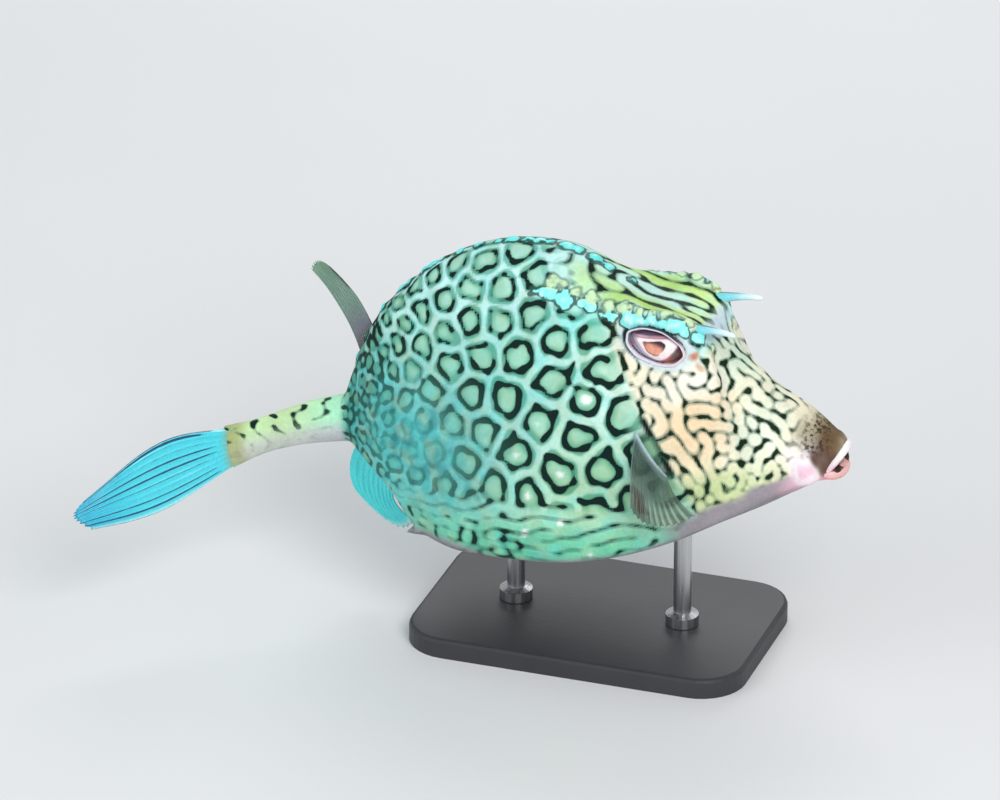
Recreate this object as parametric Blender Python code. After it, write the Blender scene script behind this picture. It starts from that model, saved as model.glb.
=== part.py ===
# Honeycomb cowfish, life size, as a still model on a plain display stand.
# Metres, +Z up, the snout towards +X. The fish's right side is at -Y.
# The origin is the middle of the stand's underside.
import math

import bmesh
import bpy
import numpy as np
from mathutils import Matrix, Vector
from mathutils.bvhtree import BVHTree

# Pose of the fish over the stand
PITCH = math.radians(6.0)      # the snout is raised by this much
LIFT = 0.088                   # height of the body's own origin above the floor
GAP = 0.0003                   # clearance that neighbouring solids keep

# Lines plan of the box-like body, in the body's own frame, from the tail's
# opening to the mouth. Each row: top (x, z), shoulder or brow (x, y, z),
# lower ridge (x, y, z), belly (x, z), and how far the flank swells out.
LINES = (
    ((-0.1035, 0.0075), (-0.1035, 0.0065, 0.0035), (-0.1030, 0.0080, -0.0050), (-0.1020, -0.0115), 0.0005),
    ((-0.0985, 0.0195), (-0.0975, 0.0070, 0.0155), (-0.0925, 0.0165, -0.0115), (-0.0965, -0.0190), 0.0020),
    ((-0.0895, 0.0380), (-0.0880, 0.0090, 0.0320), (-0.0805, 0.0235, -0.0205), (-0.0875, -0.0310), 0.0040),
    ((-0.0765, 0.0530), (-0.0755, 0.0105, 0.0450), (-0.0695, 0.0285, -0.0340), (-0.0740, -0.0415), 0.0050),
    ((-0.0550, 0.0685), (-0.0550, 0.0120, 0.0585), (-0.0530, 0.0355, -0.0395), (-0.0540, -0.0460), 0.0055),
    ((-0.0300, 0.0765), (-0.0300, 0.0130, 0.0655), (-0.0300, 0.0415, -0.0395), (-0.0300, -0.0465), 0.0060),
    ((-0.0050, 0.0750), (-0.0050, 0.0135, 0.0645), (-0.0050, 0.0450, -0.0385), (-0.0050, -0.0455), 0.0060),
    ((0.0130, 0.0655), (0.0130, 0.0140, 0.0580), (0.0180, 0.0435, -0.0350), (0.0190, -0.0425), 0.0050),
    ((0.0275, 0.0570), (0.0280, 0.0180, 0.0580), (0.0380, 0.0385, -0.0300), (0.0400, -0.0370), 0.0035),
    ((0.0410, 0.0525), (0.0410, 0.0182, 0.0570), (0.0540, 0.0315, -0.0245), (0.0560, -0.0310), 0.0025),
    ((0.0505, 0.0475), (0.0505, 0.0155, 0.0500), (0.0660, 0.0250, -0.0205), (0.0685, -0.0265), 0.0020),
    ((0.0556, 0.0385), (0.0538, 0.0110, 0.0370), (0.0740, 0.0195, -0.0175), (0.0765, -0.0230), 0.0018),
    ((0.0622, 0.0295), (0.0614, 0.0092, 0.0262), (0.0810, 0.0150, -0.0150), (0.0830, -0.0200), 0.0014),
    ((0.0714, 0.0205), (0.0718, 0.0080, 0.0172), (0.0865, 0.0115, -0.0130), (0.0880, -0.0172), 0.0010),
    ((0.0825, 0.0128), (0.0830, 0.0075, 0.0095), (0.0905, 0.0095, -0.0125), (0.0915, -0.0162), 0.0008),
    ((0.0900, 0.0065), (0.0905, 0.0065, 0.0035), (0.0935, 0.0085, -0.0125), (0.0940, -0.0162), 0.0006),
    ((0.0945, 0.0015), (0.0950, 0.0055, -0.0010), (0.0960, 0.0072, -0.0120), (0.0960, -0.0160), 0.0005),
)

# Shell plates: one hexagon each, raised from the grooves between them
PLATES_ROUND = 18              # plates in one ring around the body
PLATE_RISE = 0.0007
PLATE_SHORTEST = 0.0088        # least distance between two rings of plates
GROOVE_SHARE = 0.10            # half a groove's width, as a share of a plate
MUZZLE_X = 0.0790              # forward of this the snout is bare skin

# The cut between the head and the trunk leans forward down the gill slit
GILL_POINT = Vector((0.0345, 0.0, 0.0080))
GILL_LEAN = 0.50               # how far the cut goes forward for each metre down

# Eyes: set into the flank under the brow, where these x and z meet it
EYE_HALF_SIZES = (0.0108, 0.0062, 0.0052)   # along the head, up, and out of the flank
EYE_SEGMENTS = 20
EYE_RINGS = 14
EYE_PLACE = (0.0342, 0.0450)
EYE_TILT = math.radians(18.0)   # the front of the eye is this much lower
EYE_BULGE = 0.0022             # how far the globe stands out of the flank
EYE_PUPIL = math.radians(26.0)
EYE_IRIS = math.radians(44.0)
PUPIL_SHARE = 0.955            # the pupil and the iris lie a little below the globe's surface
IRIS_SHARE = 0.980
RIM_RADIUS = 0.0118
RIM_THICKNESS = 0.0014
RIM_SQUASH = 0.56              # the rim is lower than it is long

# Horns over the eyes
HORN_ROOT = (0.0470, 0.0146, 0.0488)
HORN_TIP = (0.0648, 0.0176, 0.0484)
HORN_BASE_RADIUS = 0.0022
HORN_TIP_RADIUS = 0.0009
HORN_BEND = Vector((0.0, 0.0, 0.0010))

# Lips, as bent tubes from one corner of the mouth to the other
MOUTH_CORNER = (0.0912, 0.0074, -0.0120)
UPPER_LIP_FRONT = (0.0995, -0.0031)
LOWER_LIP_FRONT = (0.0964, -0.0128)
UPPER_LIP_RADIUS = 0.0016
LOWER_LIP_RADIUS = 0.0027
MOUTH_AT = (0.0965, 0.0, -0.0084)
MOUTH_HALF_SIZES = (0.0050, 0.0052, 0.0026)

# The rounded end of the snout behind the upper lip, the chin, and fleshy pads beside the jaw
NUB_AT = (0.0925, 0.0, -0.0040)
NUB_HALF_SIZES = (0.0070, 0.0070, 0.0066)
CHIN_AT = (0.0895, 0.0, -0.0125)
CHIN_HALF_SIZES = (0.0056, 0.0072, 0.0044)
PAD_AT = (0.0845, 0.0095, -0.0092)
PAD_HALF_SIZES = (0.0058, 0.0048, 0.0065)

# Nostrils in front of the eyes, and gill slits
NOSTRIL_PLACE = (0.0475, 0.0406)
NOSTRIL_RADIUS = 0.0013
SLIT_TOP = (0.0300, 0.0345, 0.0190)
SLIT_BOTTOM = (0.0405, 0.0370, -0.0030)
SLIT_WIDTH = 0.0011
SLIT_DEPTH = 0.0040

# Small spines at the rear ends of the lower ridges
SPINE_AT = (-0.0660, 0.0270, -0.0345)
SPINE_LENGTH = 0.0060
SPINE_RADIUS = 0.0030

# Tail stalk: the course of its middle line and its half sizes
STALK_COURSE = ((-0.0960, 0.0, -0.0015), (-0.1180, -0.0020, -0.0020),
                (-0.1310, -0.0160, -0.0030), (-0.1430, -0.0280, -0.0040))
STALK_HEIGHTS = (0.0098, 0.0090, 0.0078, 0.0074, 0.0090)
STALK_WIDTHS = (0.0085, 0.0075, 0.0058, 0.0046, 0.0030)

# Caudal fin: from the stalk's end to the fin's tip
CAUDAL_REACH = (-0.0460, -0.0525, -0.0085)
CAUDAL_ROOT_HALF = 0.0082
CAUDAL_SWELL = (1.50, 0.80)    # how much higher and lower the fin spreads at its middle
CAUDAL_LENGTHS = (0.93, 0.90)  # upper and lower rays as shares of the middle ray
CAUDAL_TIP_SPREAD = (0.0035, -0.0070)
CAUDAL_RAYS = 10
CAUDAL_SINK = 0.05             # how far its root starts inside the stalk, as a share of its length

# The other fins: first, middle and last ray, at the root and at the tip
PECTORAL_ROOT = ((0.0265, 0.0330, 0.0140), (0.0320, 0.0350, 0.0045), (0.0375, 0.0350, -0.0040))
PECTORAL_TIPS = ((0.0285, 0.0520, -0.0095), (0.0385, 0.0530, -0.0165), (0.0540, 0.0500, -0.0120))
PECTORAL_BOW = (0.0, 0.0025, 0.0)
PECTORAL_RAYS = 12
DORSAL_ROOT = ((-0.0880, 0.0, 0.0330), (-0.0915, 0.0, 0.0290), (-0.0950, 0.0, 0.0250))
DORSAL_TIPS = ((-0.1045, 0.0020, 0.0600), (-0.1100, 0.0030, 0.0630), (-0.1140, 0.0040, 0.0590))
DORSAL_BOW = (0.0018, 0.0, 0.0018)
DORSAL_RAYS = 10
ANAL_ROOT = ((-0.0860, 0.0, -0.0270), (-0.0920, 0.0, -0.0190), (-0.0985, 0.0, -0.0090))
ANAL_TIPS = ((-0.0835, 0.0060, -0.0480), (-0.0930, 0.0085, -0.0525), (-0.1055, 0.0060, -0.0390))
ANAL_BOW = (-0.0050, 0.0, -0.0010)
ANAL_RAYS = 10

# Fin rays and membranes
RAY_HALF = 0.00055             # half the thickness at a ray
WEB_HALF = 0.00030             # half the thickness of the membrane between rays
FIN_STEPS = 4                  # divisions along a ray

# Stand
BASE_LENGTH = 0.136
BASE_WIDTH = 0.088
BASE_HEIGHT = 0.008
BASE_CORNER = 0.018
BASE_BEVEL = 0.0015
ROD_RADIUS = 0.0035
ROD_PLACES = (-0.034, 0.034)
ROD_TOP = 0.058                # inside the body, which cuts the rods off at its skin
COLLAR_RADIUS = 0.0065
COLLAR_HEIGHT = 0.004


def clear_scene():
    for obj in list(bpy.data.objects):
        bpy.data.objects.remove(obj, do_unlink=True)


def material(name, colour, roughness, metallic=0.0):
    made = bpy.data.materials.new(name)
    made.use_nodes = True
    shader = made.node_tree.nodes["Principled BSDF"]
    shader.inputs["Base Color"].default_value = (*colour, 1.0)
    shader.inputs["Roughness"].default_value = roughness
    shader.inputs["Metallic"].default_value = metallic
    return made


def add_object(name, mesh_data):
    obj = bpy.data.objects.new(name, mesh_data)
    bpy.context.scene.collection.objects.link(obj)
    return obj


def object_from(bm, name):
    bmesh.ops.triangulate(bm, faces=bm.faces)
    bmesh.ops.recalc_face_normals(bm, faces=bm.faces)
    mesh_data = bpy.data.meshes.new(name)
    bm.to_mesh(mesh_data)
    bm.free()
    return add_object(name, mesh_data)


def side_point(point, side):
    return Vector((point[0], point[1] * side, point[2]))


# Smooth curves through the lines plan

def catmull(values, place):
    """The value of a smooth curve through evenly numbered values."""
    values = np.asarray(values, dtype=float)
    last = len(values) - 1
    i = min(int(place), last - 1)
    f = place - i
    before = values[i - 1] if i > 0 else 2 * values[0] - values[1]
    after = values[i + 2] if i + 2 <= last else 2 * values[last] - values[last - 1]
    a, b = values[i], values[i + 1]
    return 0.5 * (2 * a + (b - before) * f + (2 * before - 5 * a + 4 * b - after) * f * f
                  + (3 * (a - b) + after - before) * f ** 3)


TOPS = [(row[0][0], 0.0, row[0][1]) for row in LINES]
SHOULDERS = [row[1] for row in LINES]
RIDGES = [row[2] for row in LINES]
BELLIES = [(row[3][0], 0.0, row[3][1]) for row in LINES]
SWELLS = [row[4] for row in LINES]
LAST = len(LINES) - 1


def half_section(place):
    """Points of one flank, from the middle of the back to that of the belly."""
    top = catmull(TOPS, place)
    shoulder = catmull(SHOULDERS, place)
    ridge = catmull(RIDGES, place)
    belly = catmull(BELLIES, place)
    swell = catmull(SWELLS, place)
    points = []
    for k in range(12):
        a = 0.5 * math.pi * k / 12
        share = np.array((1 - math.cos(a), math.sin(a), 1 - math.cos(a)))
        points.append(top + (shoulder - top) * share)
    for k in range(40):
        f = k / 40
        point = shoulder + (ridge - shoulder) * f
        point[1] += swell * math.sin(math.pi * f)
        points.append(point)
    for k in range(25):
        f = k / 24
        share = np.array((f, f, math.sin(0.5 * math.pi * f)))
        points.append(ridge + (belly - ridge) * share)
    return np.array(points)


def section(place, count):
    """Evenly spaced points round one closed section, the right flank first."""
    right = half_section(place)
    right[:, 1] *= -1
    left = right[-2:0:-1] * (1, -1, 1)
    loop = np.vstack((right, left))
    for _ in range(3):
        loop = 0.25 * np.roll(loop, 1, 0) + 0.5 * loop + 0.25 * np.roll(loop, -1, 0)
    closed = np.vstack((loop, loop[:1]))
    run = np.concatenate(((0.0,), np.cumsum(np.linalg.norm(np.diff(closed, axis=0), axis=1))))
    wanted = np.linspace(0.0, run[-1], count, endpoint=False)
    return np.stack([np.interp(wanted, run, closed[:, k]) for k in range(3)], axis=1)


def ring_places():
    """Places of the rings of plates, closer where the body is slimmer."""
    steps = np.linspace(0.0, LAST, 241)
    flank = np.array([section(s, PLATES_ROUND)[PLATES_ROUND // 4] for s in steps])
    girth = [np.linalg.norm(np.diff(section(s, 60), axis=0), axis=1).sum() for s in steps]
    run = np.linalg.norm(np.diff(flank, axis=0), axis=1)
    pitch = np.maximum(np.array(girth[:-1]) / PLATES_ROUND * math.sqrt(0.75), PLATE_SHORTEST)
    rings = np.concatenate(((0.0,), np.cumsum(run / pitch)))
    count = int(round(rings[-1]))
    return steps, rings * count / rings[-1], count


def honeycomb(grow=0.0):
    """The whole body from tail opening to mouth as one closed skin of plates."""
    steps, rings, count = ring_places()
    bm = bmesh.new()
    around = 2 * PLATES_ROUND
    loops = {}

    def loop(third):
        third = min(max(third, 0), 3 * count)
        if third not in loops:
            place = float(np.interp(third / 3, rings, steps))
            loops[third] = [bm.verts.new(p) for p in section(place, around)]
        return loops[third]

    faces_by_ring = []
    crowns = {}
    for i in range(count + 1):
        shift = i % 2
        row = []
        level = section(float(np.interp(i, rings, steps)), around)
        for j in range(PLATES_ROUND):
            mid = 2 * j + shift
            front, rear = loop(3 * i + 1), loop(3 * i - 1)
            corners = [front[(mid + 1) % around], loop(3 * i + 2)[mid % around],
                       front[(mid - 1) % around], rear[(mid - 1) % around],
                       loop(3 * i - 2)[mid % around], rear[(mid + 1) % around]]
            corners = list(dict.fromkeys(corners))
            row.append(bm.faces.new(corners))
            crowns[row[-1]] = Vector(level[mid % around])
        faces_by_ring.append(row)
    for end in (0, 3 * count):
        bm.faces.new(loops[end])
    loose = [v for v in bm.verts if not v.link_faces]
    bmesh.ops.delete(bm, geom=loose, context="VERTS")
    bmesh.ops.recalc_face_normals(bm, faces=bm.faces)
    for row in faces_by_ring[1:-1]:
        raised = row[0].calc_center_median().x < MUZZLE_X
        if raised:
            size = math.sqrt(sum(f.calc_area() for f in row) / len(row))
            bmesh.ops.inset_individual(bm, faces=row, thickness=GROOVE_SHARE * size,
                                       depth=PLATE_RISE, use_even_offset=True)
        for face in row:
            crown = crowns[face] + face.normal * (PLATE_RISE if raised else 0.0)
            bmesh.ops.poke(bm, faces=[face])["verts"][0].co = crown
    if grow:
        bm.normal_update()
        for v in bm.verts:
            v.co += v.normal * grow
    return bm


# Boolean helpers: each works on closed meshes and leaves plain mesh data

def settled(obj):
    """Apply an object's modifiers and keep only its largest closed surface."""
    bpy.context.view_layer.update()
    graph = bpy.context.evaluated_depsgraph_get()
    mesh_data = bpy.data.meshes.new_from_object(obj.evaluated_get(graph))
    obj.modifiers.clear()
    obj.data = mesh_data
    bm = bmesh.new()
    bm.from_mesh(mesh_data)
    left = set(bm.faces)
    best, best_volume = None, -1.0
    while left:
        shell, queue = set(), [left.pop()]
        while queue:
            face = queue.pop()
            shell.add(face)
            for edge in face.edges:
                for other in edge.link_faces:
                    if other in left:
                        left.discard(other)
                        queue.append(other)
        piece = sum((f.calc_center_median().dot(f.normal) * f.calc_area() for f in shell), 0.0)
        if abs(piece) > best_volume:
            best, best_volume = shell, abs(piece)
    bmesh.ops.delete(bm, geom=[f for f in bm.faces if f not in best], context="FACES")
    bmesh.ops.triangulate(bm, faces=bm.faces)
    bm.to_mesh(mesh_data)
    bm.free()
    return obj


def unite(obj, others):
    group = bpy.data.collections.new("pieces_of_" + obj.name)
    for other in others:
        group.objects.link(other)
    joint = obj.modifiers.new("join", "BOOLEAN")
    joint.operation = "UNION"
    joint.operand_type = "COLLECTION"
    joint.collection = group
    joint.solver = "EXACT"
    settled(obj)
    for other in others:
        bpy.data.objects.remove(other, do_unlink=True)
    bpy.data.collections.remove(group)
    return obj


def cut_away(obj, cutters):
    for cutter in cutters:
        cut = obj.modifiers.new("cut", "BOOLEAN")
        cut.operation = "DIFFERENCE"
        cut.object = cutter
        cut.solver = "EXACT"
    return settled(obj)


def drop(*objects):
    for obj in objects:
        bpy.data.objects.remove(obj, do_unlink=True)


# Simple closed pieces

def tube(name, centres, radii, segments=12, flatten=None, up=Vector((0, 0, 1))):
    """A closed tube along a list of centres, with round or oval rings."""
    bm = bmesh.new()
    rings = []
    for i, centre in enumerate(centres):
        before = centres[max(i - 1, 0)]
        after = centres[min(i + 1, len(centres) - 1)]
        ahead = (after - before).normalized()
        across = ahead.cross(up).normalized()
        rise = across.cross(ahead).normalized()
        wide = flatten[i] if flatten else radii[i]
        ring = []
        for k in range(segments):
            a = 2 * math.pi * k / segments
            out = across * (wide * math.cos(a)) + rise * (radii[i] * math.sin(a))
            ring.append(bm.verts.new(centre + out))
        rings.append(ring)
    for low, high in zip(rings, rings[1:]):
        for k in range(segments):
            n = (k + 1) % segments
            bm.faces.new((low[k], low[n], high[n], high[k]))
    bm.faces.new(rings[0])
    bm.faces.new(rings[-1])
    return object_from(bm, name)


def eye_turn(look):
    """Turns an upright shape to face along look, with its front end tilted down."""
    tilt = math.copysign(EYE_TILT, look.y)
    return Vector((0, 0, 1)).rotation_difference(look).to_matrix().to_4x4() @ Matrix.Rotation(tilt, 4, "Z")


def globe(name, centre, half_sizes, look, shape=None):
    """An eye-shaped ball. shape gives the share of the radius at each angle from its axis."""
    bm = bmesh.new()
    bmesh.ops.create_uvsphere(bm, u_segments=EYE_SEGMENTS, v_segments=EYE_RINGS, radius=1.0)
    if shape:
        for v in bm.verts:
            v.co *= shape(math.acos(max(-1.0, min(1.0, v.co.z))))
    bmesh.ops.scale(bm, vec=half_sizes, verts=bm.verts)
    bmesh.ops.transform(bm, matrix=Matrix.Translation(centre) @ eye_turn(look), verts=bm.verts)
    return object_from(bm, name)


def oval_lump(name, centre, half_sizes, grow=0.0, segments=16, rings=10):
    bm = bmesh.new()
    bmesh.ops.create_uvsphere(bm, u_segments=segments, v_segments=rings, radius=1.0)
    bmesh.ops.scale(bm, vec=[half + grow for half in half_sizes], verts=bm.verts)
    bmesh.ops.translate(bm, vec=centre, verts=bm.verts)
    return object_from(bm, name)


def eye_ring(name, centre, look, major, minor, segments=24, ring=6):
    bm = bmesh.new()
    circle = bmesh.ops.create_circle(bm, segments=ring, radius=minor)
    bmesh.ops.rotate(bm, verts=circle["verts"], cent=(0, 0, 0), matrix=Matrix.Rotation(math.pi / 2, 3, "X"))
    bmesh.ops.translate(bm, verts=circle["verts"], vec=(major, 0, 0))
    bmesh.ops.spin(bm, geom=bm.verts[:] + bm.edges[:], cent=(0, 0, 0), axis=(0, 0, 1),
                   angle=2 * math.pi, steps=segments, use_merge=True)
    bmesh.ops.remove_doubles(bm, verts=bm.verts, dist=1e-6)
    bmesh.ops.scale(bm, vec=(1.0, RIM_SQUASH, 1.0), verts=bm.verts)
    bmesh.ops.transform(bm, matrix=Matrix.Translation(centre) @ eye_turn(look), verts=bm.verts)
    return object_from(bm, name)


def disc_stack(name, profile, segments, place):
    """A turned piece on a vertical axis from (radius, height) pairs, bottom first."""
    bm = bmesh.new()
    rings = []
    for radius, height in profile:
        ring = []
        for k in range(segments):
            a = 2 * math.pi * k / segments
            x, y = place[0] + radius * math.cos(a), place[1] + radius * math.sin(a)
            ring.append(bm.verts.new((x, y, height)))
        rings.append(ring)
    for low, high in zip(rings, rings[1:]):
        for k in range(segments):
            n = (k + 1) % segments
            bm.faces.new((low[k], low[n], high[n], high[k]))
    bm.faces.new(rings[0])
    bm.faces.new(rings[-1])
    return object_from(bm, name)


# Fins

def bent_line(a, b, c, f):
    """A curve from a to c that passes through b at its middle."""
    middle = 2 * b - 0.5 * (a + c)
    return a * (1 - f) ** 2 + middle * (2 * f * (1 - f)) + c * f * f


def fin(name, root, tips, rays, bow=Vector((0, 0, 0)), root_half=0.0012, notch=0.04):
    """A webbed fin: rays run from the root line to the curve of tips.

    root and tips are three points each: first ray, middle ray, last ray.
    Each ray stands out as a ridge on both faces of the membrane.
    """
    ridge_steps = (-0.30, 0.0, 0.30)
    columns = [r + d for r in range(rays) for d in ridge_steps]
    columns = columns[1:-1]
    span = rays - 1

    def middle(q, s):
        f = q / span
        low = bent_line(*root, f)
        high = bent_line(*tips, f)
        web = abs(q - round(q)) / 0.5
        high = high + (low - high) * (notch * web)
        return low + (high - low) * s + bow * (4 * s * (1 - s))

    def half(q, s):
        on_ray = abs(q - round(q)) < 0.01
        edge = RAY_HALF if on_ray else WEB_HALF
        thick = root_half + 0.4 * (edge - WEB_HALF)
        return thick + (edge - thick) * min(1.0, s * 2.2)

    bm = bmesh.new()
    faces_of = {1: {}, -1: {}}
    step = 0.02
    for side in (1, -1):
        for i, q in enumerate(columns):
            for k in range(FIN_STEPS + 1):
                s = k / FIN_STEPS
                along = middle(q, min(s + step, 1.0)) - middle(q, max(s - step, 0.0))
                across = middle(min(q + step, span), s) - middle(max(q - step, 0.0), s)
                normal = along.cross(across).normalized()
                faces_of[side][i, k] = bm.verts.new(middle(q, s) + normal * (side * half(q, s)))
    last = len(columns) - 1
    for side in (1, -1):
        grid = faces_of[side]
        for i in range(last):
            for k in range(FIN_STEPS):
                a, b = grid[i, k], grid[i + 1, k]
                c, d = grid[i + 1, k + 1], grid[i, k + 1]
                bm.faces.new((a, b, c))
                bm.faces.new((a, c, d))
    rim = [(i, 0) for i in range(last)] + [(last, k) for k in range(FIN_STEPS)]
    rim += [(i, FIN_STEPS) for i in range(last, 0, -1)] + [(0, k) for k in range(FIN_STEPS, 0, -1)]
    for here, there in zip(rim, rim[1:] + rim[:1]):
        bm.faces.new((faces_of[1][here], faces_of[1][there], faces_of[-1][there], faces_of[-1][here]))
    return object_from(bm, name)


def pectoral_fin(name, side, body):
    root = [side_point(p, side) for p in PECTORAL_ROOT]
    tips = [side_point(p, side) for p in PECTORAL_TIPS]
    return cut_away(fin(name, root, tips, PECTORAL_RAYS, bow=side_point(PECTORAL_BOW, side)), [body])


def middle_fin(name, root, tips, bow, rays, body):
    piece = fin(name, [Vector(p) for p in root], [Vector(p) for p in tips], rays, bow=Vector(bow))
    return cut_away(piece, [body])


# Named parts of the fish

def body_cutter():
    """The space the body needs, grown by the gap on every side."""
    cutter = object_from(honeycomb(grow=GAP), "body_space")
    cutter.hide_render = True
    cutter.display_type = "WIRE"
    return cutter


def body_skin():
    """The plated body as a surface to set small pieces on."""
    bm = honeycomb()
    bmesh.ops.triangulate(bm, faces=bm.faces)
    skin = BVHTree.FromBMesh(bm)
    bm.free()
    return skin


def body_half(name, keep_front):
    """The trunk or the head, parted along the gill slits."""
    bm = honeycomb()
    normal = Vector((1.0, 0.0, GILL_LEAN)).normalized()
    shift = normal * (0.5 * GAP if keep_front else -0.5 * GAP)
    bmesh.ops.triangulate(bm, faces=bm.faces)
    bmesh.ops.bisect_plane(bm, geom=bm.verts[:] + bm.edges[:] + bm.faces[:], dist=1e-7,
                           plane_co=GILL_POINT + shift, plane_no=normal,
                           clear_inner=keep_front, clear_outer=not keep_front)
    rim = [e for e in bm.edges if e.is_boundary]
    bmesh.ops.edgeloop_fill(bm, edges=rim)
    return object_from(bm, name)


def rear_spine(side):
    root = side_point(SPINE_AT, side)
    back = Vector((-1.0, 0.15 * side, -0.12)).normalized()
    centres = [root - back * 0.004, root + back * (0.3 * SPINE_LENGTH), root + back * (0.7 * SPINE_LENGTH),
               root + back * SPINE_LENGTH]
    radii = [SPINE_RADIUS * share for share in (1.0, 0.75, 0.42, 0.14)]
    return tube("spine", centres, radii, segments=8)


def trunk():
    return unite(body_half("carapace", keep_front=False), [rear_spine(1), rear_spine(-1)])


def on_flank(skin, place, side):
    """The point of the flank at this x and z, and the way out of the body there."""
    start = Vector((place[0], 0.2 * side, place[1]))
    hit, normal, _, _ = skin.ray_cast(start, Vector((0.0, -side, 0.0)))
    return hit, normal


def eye_pose(skin, side):
    """The middle of the globe, where it meets the flank, and the way it looks."""
    hit, normal = on_flank(skin, EYE_PLACE, side)
    look = (normal + Vector((0.0, side, 0.0))).normalized()
    return hit - look * (EYE_HALF_SIZES[2] - EYE_BULGE), hit, look


def eye_socket(skin, side):
    middle, _, look = eye_pose(skin, side)
    return globe("socket", middle, [half + GAP for half in EYE_HALF_SIZES], look)


def eye_rim(skin, side, grow=0.0):
    _, hit, look = eye_pose(skin, side)
    return eye_ring("rim", hit, look, RIM_RADIUS, RIM_THICKNESS + grow)


def nostril(skin, side):
    at, out = on_flank(skin, NOSTRIL_PLACE, side)
    return tube("nostril", [at - out * 0.004, at + out * 0.0006, at + out * 0.0014],
                [NOSTRIL_RADIUS * 1.3, NOSTRIL_RADIUS, 0.7 * NOSTRIL_RADIUS], segments=10)


def nostril_pit(skin, side):
    at, out = on_flank(skin, NOSTRIL_PLACE, side)
    return tube("pit", [at + out * 0.0002, at + out * 0.0030], [0.0005, 0.0006], segments=6)


def gill_slit(side):
    """A thin blade that cuts the gill opening into the rear edge of the cheek."""
    top = side_point(SLIT_TOP, side)
    bottom = side_point(SLIT_BOTTOM, side)
    centres = [top + (bottom - top) * f for f in (-0.04, 0.25, 0.5, 0.75, 1.04)]
    widths = [0.2 * SLIT_WIDTH, 0.8 * SLIT_WIDTH, SLIT_WIDTH, 0.8 * SLIT_WIDTH, 0.2 * SLIT_WIDTH]
    return tube("slit", centres, widths, segments=6, flatten=[SLIT_DEPTH] * 5, up=Vector((1, 0, 0)))


def snout_lumps(grow=0.0):
    return [oval_lump("nub", NUB_AT, NUB_HALF_SIZES, grow),
            oval_lump("chin", CHIN_AT, CHIN_HALF_SIZES, grow)]


def head(skin):
    piece = body_half("head", keep_front=True)
    lumps = [shape(skin, side) for shape in (eye_rim, nostril) for side in (1, -1)]
    lumps += [oval_lump("pad", side_point(PAD_AT, side), PAD_HALF_SIZES) for side in (1, -1)]
    unite(piece, lumps + snout_lumps())
    cutters = [shape(skin, side) for shape in (eye_socket, nostril_pit) for side in (1, -1)]
    cutters += [gill_slit(1), gill_slit(-1), oval_lump("mouth", MOUTH_AT, MOUTH_HALF_SIZES)]
    cut_away(piece, cutters)
    drop(*cutters)
    return piece


def eye(name, skin, side):
    """A globe whose pupil lies a little below the iris."""
    def shape(angle):
        if angle < EYE_PUPIL:
            return PUPIL_SHARE
        if angle < EYE_IRIS:
            return IRIS_SHARE
        return 1.0

    middle, _, look = eye_pose(skin, side)
    return globe(name, middle, EYE_HALF_SIZES, look, shape)


def horn(name, skin, side, body):
    root = side_point(HORN_ROOT, side)
    tip = side_point(HORN_TIP, side)
    shares = (0.0, 0.25, 0.5, 0.72, 0.88, 0.97, 1.0)
    centres = [root + (tip - root) * f + HORN_BEND * (4 * f * (1 - f)) for f in shares]
    radii = [HORN_BASE_RADIUS + (HORN_TIP_RADIUS - HORN_BASE_RADIUS) * f ** 0.8 for f in shares]
    radii[-1] = 0.5 * HORN_TIP_RADIUS
    rim = eye_rim(skin, side, grow=GAP)
    piece = cut_away(tube(name, centres, radii, segments=12), [body, rim])
    drop(rim)
    return piece


def lip_tube(name, front, radius, grow=0.0):
    """A fleshy lip: a thick bow in front that thins into the corners of the mouth."""
    corner_x, corner_y, corner_z = MOUTH_CORNER
    centres = []
    radii = []
    count = 14
    for k in range(count + 1):
        a = math.pi * k / count
        reach = math.sin(a)
        centres.append(Vector((corner_x + (front[0] - corner_x) * reach ** 0.8, corner_y * math.cos(a),
                               corner_z + (front[1] - corner_z) * reach)))
        radii.append(radius * (0.45 + 0.55 * reach ** 0.7) + grow)
    return tube(name, centres, radii, segments=10)


def upper_lip(body):
    snout = snout_lumps(grow=GAP)
    piece = cut_away(lip_tube("upper_lip", UPPER_LIP_FRONT, UPPER_LIP_RADIUS), [body, *snout])
    drop(*snout)
    return piece


def lower_lip(body):
    """It keeps clear of the upper lip where the two meet at the corners."""
    above = lip_tube("above", UPPER_LIP_FRONT, UPPER_LIP_RADIUS, grow=GAP)
    snout = snout_lumps(grow=GAP)
    piece = cut_away(lip_tube("lower_lip", LOWER_LIP_FRONT, LOWER_LIP_RADIUS), [body, above, *snout])
    drop(above, *snout)
    return piece


def stalk_tube(name, grow=0.0):
    """The bent tail stalk, or the space it needs when grown by a gap."""
    a, b, c, d = (Vector(p) for p in STALK_COURSE)
    d = d + (d - c).normalized() * grow
    centres = []
    heights = []
    widths = []
    count = 10
    for k in range(count + 1):
        f = k / count
        centres.append(a * (1 - f) ** 3 + b * (3 * f * (1 - f) ** 2) + c * (3 * f * f * (1 - f))
                       + d * f ** 3)
        heights.append(float(catmull(STALK_HEIGHTS, 4 * f)) + grow)
        widths.append(float(catmull(STALK_WIDTHS, 4 * f)) + grow)
    return tube(name, centres, heights, segments=18, flatten=widths)


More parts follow.
